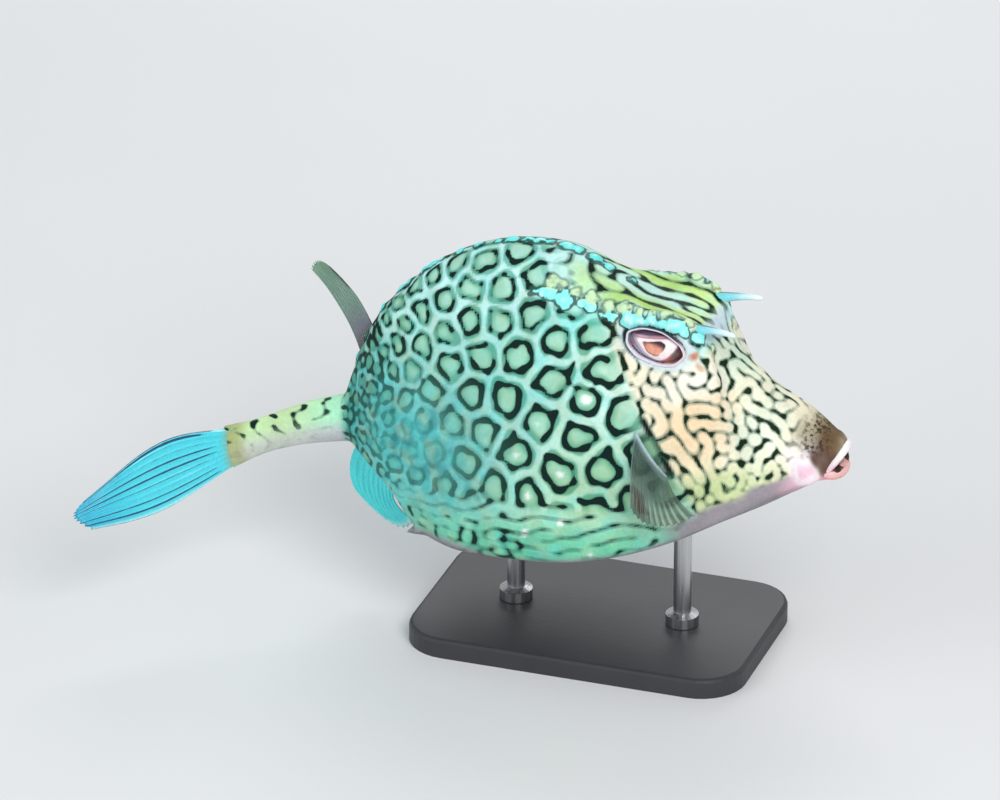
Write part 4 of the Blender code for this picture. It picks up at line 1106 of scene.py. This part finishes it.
def eyeballPiece(side, word, material):
    _, look, ahead, rise = eyeFrame(side)
    low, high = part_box("eye_" + word)
    middle = (np.array(low) + np.array(high)) / 2
    c, s = math.cos(eye["level"]), math.sin(eye["level"])

    def place(u, v):
        tilt, turn = math.pi * v, 2 * math.pi * u
        along = np.sin(tilt) * np.cos(turn) * eye["half"][0]
        up = np.sin(tilt) * np.sin(turn) * eye["half"][1]
        x, y = (along * c + up * s) * 1000, (up * c - along * s) * 1000
        facing = smooth(0.1, 0.4, np.cos(tilt))
        sink = eye["pupilSink"] * smooth(0.5, -0.5, patchGap(x, y, eye["pupil"]))
        sink = sink + eye["paleRingSink"] * smooth(-0.6, 0.6, patchGap(x, y, eye["paleRing"]))
        deep = np.cos(tilt) * eye["half"][2] - sink * facing
        points = middle + np.outer(deep, look) + np.outer(along, ahead) + np.outer(up, rise)
        return points, {"toSnout": x, "upward": y, "facing": facing}

    piece = shapedGrid("eyeball_" + word, 150, 100, place)
    x, y, facing = (storedValue(piece, name) for name in ("toSnout", "upward", "facing"))
    tone = paints(eye["tones"])
    gaps = sideGaps(x, y, eye["paleRing"])
    outside = patchGap(x, y, eye["paleRing"])
    # above the pale ring it is dark grey, a painted shadow of the brow; before and under it brown, behind
    # it lavender
    top, below = smooth(-0.6, 0.8, gaps[0]), smooth(-0.4, 0.8, gaps[1:4].max(0))
    colour = mixed(tone["behind"], tone["above"], top * smooth(8.5, 5.5, x))
    colour = mixed(colour, mixed(tone["below"], tone["before"], smooth(3.5, 8.0, x)), below)
    colour = mixed(colour, tone["corner"], np.exp(-((x + 8.4) ** 2 + (y - 1.6) ** 2) / 1.4))
    crease = smooth(0.5, 0.0, np.abs(gaps[-1] - 1.6)) * (1 - top) * (1 - below)
    colour = mixed(colour, tone["crease"], crease)
    colour = mixed(colour, tone["lidEdge"], smooth(1.0, 0.3, np.abs(outside - 0.4)) * top)
    colour = mixed(colour, tone["paleRing"], smooth(0.35, -0.25, outside) * (facing > 0.3))
    inPupil = patchGap(x, y, eye["pupil"])
    colour = mixed(colour, tone["pupilEdge"], smooth(0.55, 0.1, inPupil) * smooth(-0.2, -1.2, x + y))
    shade = smooth(-1.3, 0.2, inPupil) * smooth(-1.2, 1.0, y + 0.35 * x)
    inner = mixed(tone["pupilLight"], tone["pupilDark"], smooth(-0.4, 2.0, y + 0.5 * x - 0.6))
    inner = mixed(inner, tone["pupilShade"], shade)
    colour = mixed(colour, inner, smooth(0.15, -0.25, inPupil) * (facing > 0.3))
    storeColour(piece, "ground", colour)
    finishPiece(piece, material, ["eye_" + word])


def eyeRingPiece(side, word, material):
    seat, look, ahead, rise = eyeFrame(side)

    def place(u, v):
        turn, roll = 2 * math.pi * v, 2 * math.pi * u
        wobble = 1 + 0.012 * np.sin(5 * turn) + 0.010 * np.sin(9 * turn + 1)
        width = eye["ringWidth"] * (1 + 0.25 * np.sin(turn - 2.2))
        height = eye["ringHeight"] * np.sin(roll) - 0.0003 * np.cos(2 * turn) + 0.0002
        long, short = (half * wobble + width * np.cos(roll) for half in relief["rim"])
        points = (seat + np.outer(height, look) + np.outer(long * np.cos(turn), ahead)
                  + np.outer(short * np.sin(turn), rise))
        return points, {"inward": -np.cos(roll), "raised": np.sin(turn), "forward": np.cos(turn)}

    piece = shapedGrid("eye_ring_" + word, 22, 128, place)
    inward, raised, forward = (storedValue(piece, name) for name in ("inward", "raised", "forward"))
    tone = paints(eye["ringTones"])
    # the inner side of the ring is painted dark mauve towards its top: painted shade
    colour = mixed(tone["flesh"], tone["inner"],
                   smooth(0.45, 0.9, inward) * smooth(-0.5, 0.5, raised - 0.6 * forward))
    colour = mixed(colour, tone["low"], smooth(0.2, 0.8, -inward) * smooth(0.3, -0.5, raised))
    colour = mixed(colour, tone["front"], 0.7 * smooth(0.3, 0.9, forward))
    outline = smooth(0.35, 0.7, -inward) * smooth(0.0, 0.5, raised - 0.5 * forward)
    colour = mixed(colour, tone["outline"], outline)
    storeColour(piece, "ground", colour)
    piece.data.materials.append(material)
    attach(piece, "root")


def wetMaterial():
    material, tree, shader = newMaterial("wet_eye", Roughness=0.12, Coat_Weight=1.0, Coat_Roughness=0.03)
    ground = attributeNode(tree, "ground", True)
    veined = mottled(tree, ground, noiseNode(tree, 900.0, 4.0), (0.3, 0.7, 0.84, 1.12))
    tree.links.new(veined, shader.inputs["Base Color"])
    return material


def fleshMaterial(name, grainScale, depth, roughness=0.42):
    material, tree, shader = newMaterial(name, Roughness=roughness, Subsurface_Weight=0.12,
                                         Subsurface_Scale=0.002)
    grain = noiseNode(tree, grainScale, 4.0)
    colour = mottled(tree, attributeNode(tree, "ground", True), grain, (0.25, 0.75, 0.88, 1.08))
    tree.links.new(colour, shader.inputs["Base Color"])
    bumpNode(tree, shader, grain, depth)
    return material


wet = wetMaterial()
ringFlesh = fleshMaterial("eye_ring_flesh", 800.0, 0.0003)
for side, word in ((1, "left"), (-1, "right")):
    eyeballPiece(side, word, wet)
    eyeRingPiece(side, word, ringFlesh)
print("eyes made")


# Horns and lips: soft tubes along a bent line

horn = dict(
    root=(0.0455, 0.0144, 0.0488),
    tip=(0.0652, 0.0177, 0.0484),
    base=0.0024,
    end=0.0008,
    bend=0.0010,
    flare=0.0007,
    tones=dict(low=(122, 222, 232), high=(236, 250, 252), shade=(178, 196, 222), streak=(18, 60, 66)),
)
lips = dict(
    corner=(0.0912, 0.0078, -0.0122),
    upper=dict(
        front=(0.0995, -0.0031), radius=0.0017, plump=0.02,
        tones=dict(corner=(244, 214, 222), front=(255, 250, 250), shade=(236, 196, 204)),
    ),
    lower=dict(
        front=(0.0964, -0.0128), radius=0.0027, plump=0.035,
        tones=dict(corner=(246, 192, 198), front=(250, 194, 188), shade=(228, 150, 140)),
    ),
)


def tubePoints(u, v, pathAt, radiusAt):
    # pathAt and radiusAt take the share of the length; the ends close to a point
    here, ahead = pathAt(v), pathAt(np.minimum(v + 0.01, 1.0)) - pathAt(np.maximum(v - 0.01, 0.0))
    ahead /= np.linalg.norm(ahead, axis=1)[:, None]
    across = np.cross(ahead, (0.0, 0.0, 1.0))
    across /= np.linalg.norm(across, axis=1)[:, None]
    rise = np.cross(across, ahead)
    turn = 2 * math.pi * u
    radius = radiusAt(v, turn)
    sideways = across * (np.cos(turn) * radius)[:, None]
    return here + sideways + rise * (np.sin(turn) * radius)[:, None], turn


def hornPiece(side, word, material):
    root, tip = (np.array(horn[key]) * (1, side, 1) for key in ("root", "tip"))

    def pathAt(v):
        line = root + np.outer(v, tip - root)
        line[:, 2] += horn["bend"] * 4 * v * (1 - v)
        return line

    def radiusAt(v, turn):
        body = horn["base"] + (horn["end"] - horn["base"]) * v ** 0.8
        flare = horn["flare"] * np.exp(-(v / 0.22) ** 2)
        groove = 1 - 0.035 * (1 - v) * np.cos(9 * turn)
        ends = np.sqrt(np.clip((1 - v) / 0.05, 0, 1)) * np.clip(v / 0.01, 0, 1)
        return (body + flare) * groove * ends

    def place(u, v):
        points, turn = tubePoints(u, v, pathAt, radiusAt)
        return toWorld(points), {"along": v, "roll": np.sin(turn)}

    piece = shapedGrid("cow_horn_" + word, 54, 60, place)
    along, roll = storedValue(piece, "along"), storedValue(piece, "roll")
    tone = paints(horn["tones"])
    colour = mixed(tone["low"], tone["high"], smooth(0.25, 0.95, along))
    colour = mixed(colour, tone["shade"], 0.7 * smooth(0.0, -0.8, roll) * smooth(0.9, 0.5, along))
    streak = 0.85 * smooth(0.93, 0.985, roll) * smooth(0.75, 0.45, along)
    colour = mixed(colour, tone["streak"], streak)
    storeColour(piece, "ground", colour)
    finishPiece(piece, material, ["horn_" + word])


def lipPiece(name, node, plan, material):
    cx, cy, cz = lips["corner"]
    front = plan["front"]

    def pathAt(v):
        reach = np.sin(math.pi * v)
        return np.column_stack((cx + (front[0] - cx) * reach ** 0.8, cy * np.cos(math.pi * v),
                                cz + (front[1] - cz) * reach))

    def radiusAt(v, turn):
        reach = np.sin(math.pi * v)
        full = plan["radius"] * (0.45 + 0.55 * reach ** 0.7)
        crease = 1 + plan["plump"] * np.cos(24 * math.pi * v) * np.clip(reach, 0, 1)
        ends = np.sqrt(np.clip(np.minimum(v, 1 - v) / 0.03, 0, 1))
        return full * crease * ends

    def place(u, v):
        points, turn = tubePoints(u, np.clip(v, 0.002, 0.998), pathAt, radiusAt)
        return toWorld(points), {"reach": np.sin(math.pi * v), "roll": np.sin(turn)}

    piece = shapedGrid(name, 28, 90, place)
    reach, roll = storedValue(piece, "reach"), storedValue(piece, "roll")
    tone = paints(plan["tones"])
    colour = mixed(tone["corner"], tone["front"], smooth(0.2, 0.9, reach))
    colour = mixed(colour, tone["shade"], 0.6 * smooth(0.1, -0.8, roll))
    storeColour(piece, "ground", colour)
    finishPiece(piece, material, [node])


hornSkin = fleshMaterial("horn_skin", 420.0, 0.0002, 0.34)
lipFlesh = fleshMaterial("lip_flesh", 900.0, 0.00025, 0.36)
for side, word in ((1, "left"), (-1, "right")):
    hornPiece(side, word, hornSkin)
lipPiece("lip_above", "upper_lip", lips["upper"], lipFlesh)
lipPiece("lip_below", "lower_lip", lips["lower"], lipFlesh)
print("horns and lips made")


# Fins: a web with rays that stand out on both faces. root and tips give the first, middle and
# last ray; bow swells the web sideways; line is the dark colour of the rays.

fins = dict(
    rayHalf=0.00062,
    webHalf=0.00024,
    perRay=12,
    alongRay=64,
    fork=(0.55, 0.95),     # where the rays fork, as shares of their length
    rootFade=2.4,          # how soon the thick root thins out
    edgeRound=0.30,        # rounding of the first and last ray, in rays
    tipRound=0.03,
    wrinkle=0.0004,
)


def bentLine(three, f):
    a, b, c = (np.array(p, dtype=float) for p in three)
    middle = 2 * b - 0.5 * (a + c)
    f = np.asarray(f)[:, None]
    return a * (1 - f) ** 2 + middle * (2 * f * (1 - f)) + c * f * f


def finPiece(name, node, plan, material, painter, shift=None):
    span = plan["rays"] - 1
    bow = np.array(plan["bow"])

    def middle(q, s):
        low, high = bentLine(plan["root"], q / span), bentLine(plan["tips"], q / span)
        web = np.abs(q - np.rint(q)) / 0.5
        high = high + (low - high) * (plan["notch"] * web)[:, None]
        s = s[:, None]
        return low + (high - low) * s + bow * (4 * s * (1 - s))

    def place(u, v):
        face = np.where(u <= 0.5, 1.0, -1.0)
        q = np.where(u <= 0.5, 2 * u, 2 - 2 * u) * span
        s = v
        along = middle(q, np.minimum(s + 0.02, 1.0)) - middle(q, np.maximum(s - 0.02, 0.0))
        across = middle(np.minimum(q + 0.02, span), s) - middle(np.maximum(q - 0.02, 0.0), s)
        normal = np.cross(along, across)
        normal /= np.maximum(np.linalg.norm(normal, axis=1), 1e-12)[:, None]
        ray = 0.5 + 0.5 * np.cos(2 * math.pi * q)
        # towards the tip every ray forks
        fork = smooth(*fins["fork"], s)
        ray = ray * (1 - fork) + fork * (0.5 - 0.5 * np.cos(4 * math.pi * q)) * 0.8
        half = fins["webHalf"] + (fins["rayHalf"] - fins["webHalf"]) * ray ** 2
        half = half + (plan["thick"] - half) * np.clip(1 - s * fins["rootFade"], 0, 1) ** 1.5
        half = half * np.sqrt(np.clip(np.minimum(q, span - q) / fins["edgeRound"], 0, 1))
        half = half * np.sqrt(np.clip((1 - s) / fins["tipRound"], 0, 1)) * np.clip(s / 0.01, 0, 1)
        points = middle(q, s) + normal * (face * half)[:, None]
        wrinkle = fins["wrinkle"] * np.sin(9 * s + 1.7 * q) * s * (1 - s)
        points = points + normal * wrinkle[:, None]
        if shift is not None:
            points = shift(points)
        return toWorld(points), {"rayPlace": q, "run": s}

    piece = shapedGrid(name, 2 * span * fins["perRay"], fins["alongRay"], place)
    q, s = storedValue(piece, "rayPlace"), storedValue(piece, "run")
    ray = 0.5 + 0.5 * np.cos(2 * math.pi * q)
    tint, dark = painter(q / span, s, ray)
    storeColour(piece, "ground", tint)
    storeValue(piece, "line", dark)
    finishPiece(piece, material, [node])


def finMaterial(name, plan):
    material, tree, shader = newMaterial(name, Roughness=0.38, Alpha=plan["alpha"], Coat_Weight=0.3,
                                         Coat_Roughness=0.2)
    streak = noiseNode(tree, 260.0, 3.0)
    fine = noiseNode(tree, 1100.0, 2.0)
    waver = mathNode(tree, "MULTIPLY_ADD", streak, 0.5, -0.25)
    line = mathNode(tree, "ADD", attributeNode(tree, "line"), waver)
    mask = rangeNode(tree, line, 0.42, 0.72)
    web = mottled(tree, attributeNode(tree, "ground", True), fine, (0.25, 0.75, 0.90, 1.08))
    colour = mixNode(tree, mask, web, plan["line"])
    tree.links.new(colour, shader.inputs["Base Color"])
    bumpNode(tree, shader, streak, 0.0003, 0.6)
    return material


def layTones(tone, *stops):
    # each stop is a share and the colour that it lays over the ones before
    for share, colour in stops:
        tone = mixed(tone, colour, np.clip(share, 0, 1))
    return tone


caudal = dict(
    rays=10, notch=0.02, thick=0.0022, bow=(0, 0, 0), alpha=1.0,
    reach=(-0.0460, -0.0525, -0.0085), rootHalf=0.0082, sink=0.05,
    swell=(1.50, 0.80), lengths=(0.93, 0.90), tipSpread=(0.0035, -0.0070),
    line=(0.004, 0.075, 0.17),
    tones=dict(web=(74, 222, 240), tip=(44, 190, 222), root=(150, 166, 98),
               lowEdge=(190, 246, 250), topEdge=(150, 240, 250)),
)
caudalEnd, caudalReach = np.array(stalk["course"][3]), np.array(caudal["reach"])
rise = np.array((0.0, 0.0, 1.0))
caudalStart = caudalEnd - caudalReach * caudal["sink"]
caudal["root"] = (caudalStart + rise * caudal["rootHalf"], caudalStart,
                  caudalStart - rise * caudal["rootHalf"])
caudal["tips"] = (caudalEnd + caudalReach * caudal["lengths"][0] + rise * caudal["tipSpread"][0],
                  caudalEnd + caudalReach,
                  caudalEnd + caudalReach * caudal["lengths"][1] + rise * caudal["tipSpread"][1])


def swellCaudal(points):
    length = np.linalg.norm(caudalReach)
    f = np.clip((points - caudalEnd) @ (caudalReach / length) / length, 0, 1)
    middle = caudalEnd[2] + caudalReach[2] * f
    share = np.where(points[:, 2] > middle, *caudal["swell"])
    lifted = points.copy()
    lifted[:, 2] += (points[:, 2] - middle) * share * np.sin(math.pi * f) ** 1.2
    return lifted


def paintCaudal(f, s, ray):
    tone = paints(caudal["tones"])
    tint = layTones(tone["web"],
                    (smooth(0.55, 1.0, s), tone["tip"]),
                    (0.85 * smooth(0.13, 0.04, s), tone["root"]),
                    (0.8 * smooth(0.93, 0.99, f), tone["lowEdge"]),
                    (0.7 * smooth(0.03, 0.0, f), tone["topEdge"]))
    # most rays carry a dark blue line, and the upper edge a longer one
    dark = ray ** 5 * smooth(0.04, 0.22, s) * (0.80 + 0.30 * np.sin(13 * f + 2.6))
    dark = np.maximum(dark, smooth(0.035, 0.012, np.abs(f - 0.05)) * smooth(0.12, 0.3, s))
    return tint, dark


anal = dict(
    rays=10, notch=0.04, thick=0.0012, bow=(-0.0050, 0.0, -0.0010), alpha=1.0,
    root=((-0.0860, 0.0, -0.0270), (-0.0920, 0.0, -0.0190), (-0.0985, 0.0, -0.0090)),
    tips=((-0.0835, 0.0060, -0.0480), (-0.0930, 0.0085, -0.0525), (-0.1055, 0.0060, -0.0390)),
    line=(0.01, 0.20, 0.25),
    tones=dict(web=(64, 232, 234), root=(70, 190, 180), tip=(210, 250, 248)),
)


def paintAnal(f, s, ray):
    tone = paints(anal["tones"])
    tint = layTones(tone["web"],
                    (smooth(0.2, 0.0, s), tone["root"]),
                    (0.8 * smooth(0.86, 1.0, s), tone["tip"]))
    return tint, 0.5 * ray ** 4 * smooth(0.1, 0.3, s)


dorsal = dict(
    rays=10, notch=0.04, thick=0.0012, bow=(0.0018, 0.0, 0.0018), alpha=0.72,
    root=((-0.0880, 0.0, 0.0330), (-0.0915, 0.0, 0.0290), (-0.0950, 0.0, 0.0250)),
    tips=((-0.1045, 0.0020, 0.0600), (-0.1100, 0.0030, 0.0630), (-0.1140, 0.0040, 0.0590)),
    line=(0.035, 0.045, 0.035),
    tones=dict(web=(96, 142, 120), low=(98, 104, 122), root=(70, 52, 44), tip=(132, 178, 140)),
)


def paintDorsal(f, s, ray):
    tone = paints(dorsal["tones"])
    tint = layTones(tone["web"],
                    (smooth(0.55, 0.15, s), tone["low"]),
                    (smooth(0.22, 0.05, s), tone["root"]),
                    (0.6 * smooth(0.80, 1.0, s), tone["tip"]))
    return tint, np.maximum(0.55 * ray ** 3, smooth(0.18, 0.04, f) * smooth(0.5, 0.8, s))


# the left pectoral fin; the right one mirrors it
pectoral = dict(
    rays=12, notch=0.04, thick=0.0012, bow=(0.0, 0.0025, 0.0), alpha=0.60,
    root=((0.0265, 0.0330, 0.0140), (0.0320, 0.0350, 0.0045), (0.0375, 0.0350, -0.0040)),
    tips=((0.0285, 0.0520, -0.0095), (0.0385, 0.0530, -0.0165), (0.0540, 0.0500, -0.0120)),
    line=(0.02, 0.035, 0.028),
    tones=dict(web=(84, 112, 98), low=(44, 68, 62), root=(206, 232, 240), topEdge=(150, 190, 188),
               spot=(66, 42, 26), rays=(186, 206, 176)),
)


def paintPectoral(f, s, ray):
    tone = paints(pectoral["tones"])
    spot = np.exp(-((s - 0.80) / 0.17) ** 2 - ((f - 0.20) / 0.15) ** 2)
    # the web is painted darker near the root of the upper rays: a painted shadow
    tint = layTones(tone["web"],
                    (smooth(0.70, 0.1, s) * smooth(0.9, 0.4, f), tone["low"]),
                    (smooth(0.10, 0.03, s), tone["root"]),
                    (0.5 * smooth(0.04, 0.0, f), tone["topEdge"]),
                    (0.95 * spot, tone["spot"]),
                    (0.7 * ray ** 3 * smooth(0.45, 0.8, s) * smooth(0.3, 0.6, f), tone["rays"]))
    return tint, 0.56 * (1 - ray) ** 2 * smooth(0.15, 0.4, s)


def mirroredPlan(plan, side):
    turned = {key: np.array(plan[key]) * (1, side, 1) for key in ("bow", "root", "tips")}
    return {**plan, **turned}


finPiece("tail_fin", "caudal_fin", caudal, finMaterial("tail_fin_web", caudal),
         paintCaudal, swellCaudal)
finPiece("under_fin", "anal_fin", anal, finMaterial("under_fin_web", anal), paintAnal)
finPiece("back_fin", "dorsal_fin", dorsal, finMaterial("back_fin_web", dorsal), paintDorsal)
greyWeb = finMaterial("side_fin_web", pectoral)
for side, word in ((1, "left"), (-1, "right")):
    finPiece("side_fin_" + word, "pectoral_fin_" + word, mirroredPlan(pectoral, side), greyWeb,
             paintPectoral)
print("fins made")


# The stand keeps its solids and gets its finishes

stand = dict(resin=(0.035, 0.037, 0.041), steel=(0.58, 0.59, 0.60))


def standFinishes():
    dark, tree, shader = newMaterial("stand_resin", Roughness=0.5)
    resin = mottled(tree, stand["resin"], noiseNode(tree, 30.0, 2.0), (0.3, 0.7, 0.85, 1.1))
    tree.links.new(resin, shader.inputs["Base Color"])
    bumpNode(tree, shader, noiseNode(tree, 420.0, 3.0), 0.0002, 0.5)
    steel, tree, shader = newMaterial("stand_rod_steel", Roughness=0.28, Metallic=1.0)
    brushed = noiseNode(tree, 900.0, 2.0, stretch=(1.0, 1.0, 0.03))
    tree.links.new(mottled(tree, stand["steel"], brushed, (0.25, 0.75, 0.85, 1.08)),
                   shader.inputs["Base Color"])
    tree.links.new(rangeNode(tree, brushed, 0.2, 0.8, 0.22, 0.40, "LINEAR"), shader.inputs["Roughness"])
    for name in ("stand_base", "stand_rod_front", "stand_rod_rear"):
        node = nodes[name]
        node.data.materials.clear()
        node.data.materials.append(dark if name == "stand_base" else steel)


standFinishes()
print("stand finished")


# Floor, light and camera

studio = dict(
    floor=(0.80, 0.81, 0.82),
    azimuth=math.radians(19.0),
    elevation=math.radians(26.0),
    viewWidth=0.3846,
    lens=300.0,
    sensor=36.0,
    aimRight=-0.03846,
    aimUp=0.009615,
    lights=(
        # name, place, size, power, colour
        ("key_light", (0.75, -0.95, 1.05), 0.9, 14.0, (1.0, 0.985, 0.96)),
        ("fill_light", (-0.9, -0.9, 0.7), 1.2, 5.0, (0.93, 0.98, 1.0)),
        ("back_light", (-0.3, 1.0, 0.9), 0.9, 6.0, (1.0, 1.0, 1.0)),
    ),
    lightTarget=(0.0, 0.0, 0.08),
    sky=(0.92, 0.96, 1.0, 1.0),
    skyStrength=0.42,
)


def floorPiece():
    bm = bmesh.new()
    bmesh.ops.create_grid(bm, x_segments=8, y_segments=8, size=6.0)
    data = bpy.data.meshes.new("floor")
    bm.to_mesh(data)
    bm.free()
    floor = bpy.data.objects.new("floor", data)
    bpy.context.scene.collection.objects.link(floor)
    material, tree, shader = newMaterial("floor_paper", Roughness=0.9, Specular_IOR_Level=0.2)
    paper = mottled(tree, studio["floor"], noiseNode(tree, 3.0, 2.0), (0.3, 0.7, 0.97, 1.0))
    tree.links.new(paper, shader.inputs["Base Color"])
    data.materials.append(material)


def softLight(name, place, size, power, colour):
    lamp = bpy.data.lights.new(name, "AREA")
    lamp.shape = "DISK"
    lamp.size = size
    lamp.energy = power
    lamp.color = colour
    holder = bpy.data.objects.new(name, lamp)
    bpy.context.scene.collection.objects.link(holder)
    holder.location = place
    way = Vector(studio["lightTarget"]) - Vector(place)
    holder.rotation_euler = way.to_track_quat("-Z", "Y").to_euler()


def cameraPiece():
    a, e = studio["azimuth"], studio["elevation"]
    right = Vector((math.cos(a), math.sin(a), 0.0))
    up = Vector((-math.sin(a) * math.sin(e), math.cos(a) * math.sin(e), math.cos(e)))
    back = Vector((math.sin(a) * math.cos(e), -math.cos(a) * math.cos(e), math.sin(e)))
    lens = bpy.data.cameras.new("camera")
    lens.lens = studio["lens"]
    lens.sensor_width = studio["sensor"]
    camera = bpy.data.objects.new("camera", lens)
    bpy.context.scene.collection.objects.link(camera)
    aim = Vector((0.0, 0.0, pose["lift"])) + right * studio["aimRight"] + up * studio["aimUp"]
    camera.location = aim + back * (studio["viewWidth"] * studio["lens"] / studio["sensor"])
    camera.rotation_euler = (-back).to_track_quat("-Z", "Y").to_euler()
    lens.clip_end = 100.0
    bpy.context.scene.camera = camera


floorPiece()
for light in studio["lights"]:
    softLight(*light)
world = bpy.data.worlds.new("studio")
bpy.context.scene.world = world
world.use_nodes = True
sky = world.node_tree.nodes["Background"]
sky.inputs["Color"].default_value = studio["sky"]
sky.inputs["Strength"].default_value = studio["skyStrength"]
bpy.context.scene.view_settings.view_transform = "Standard"
cameraPiece()
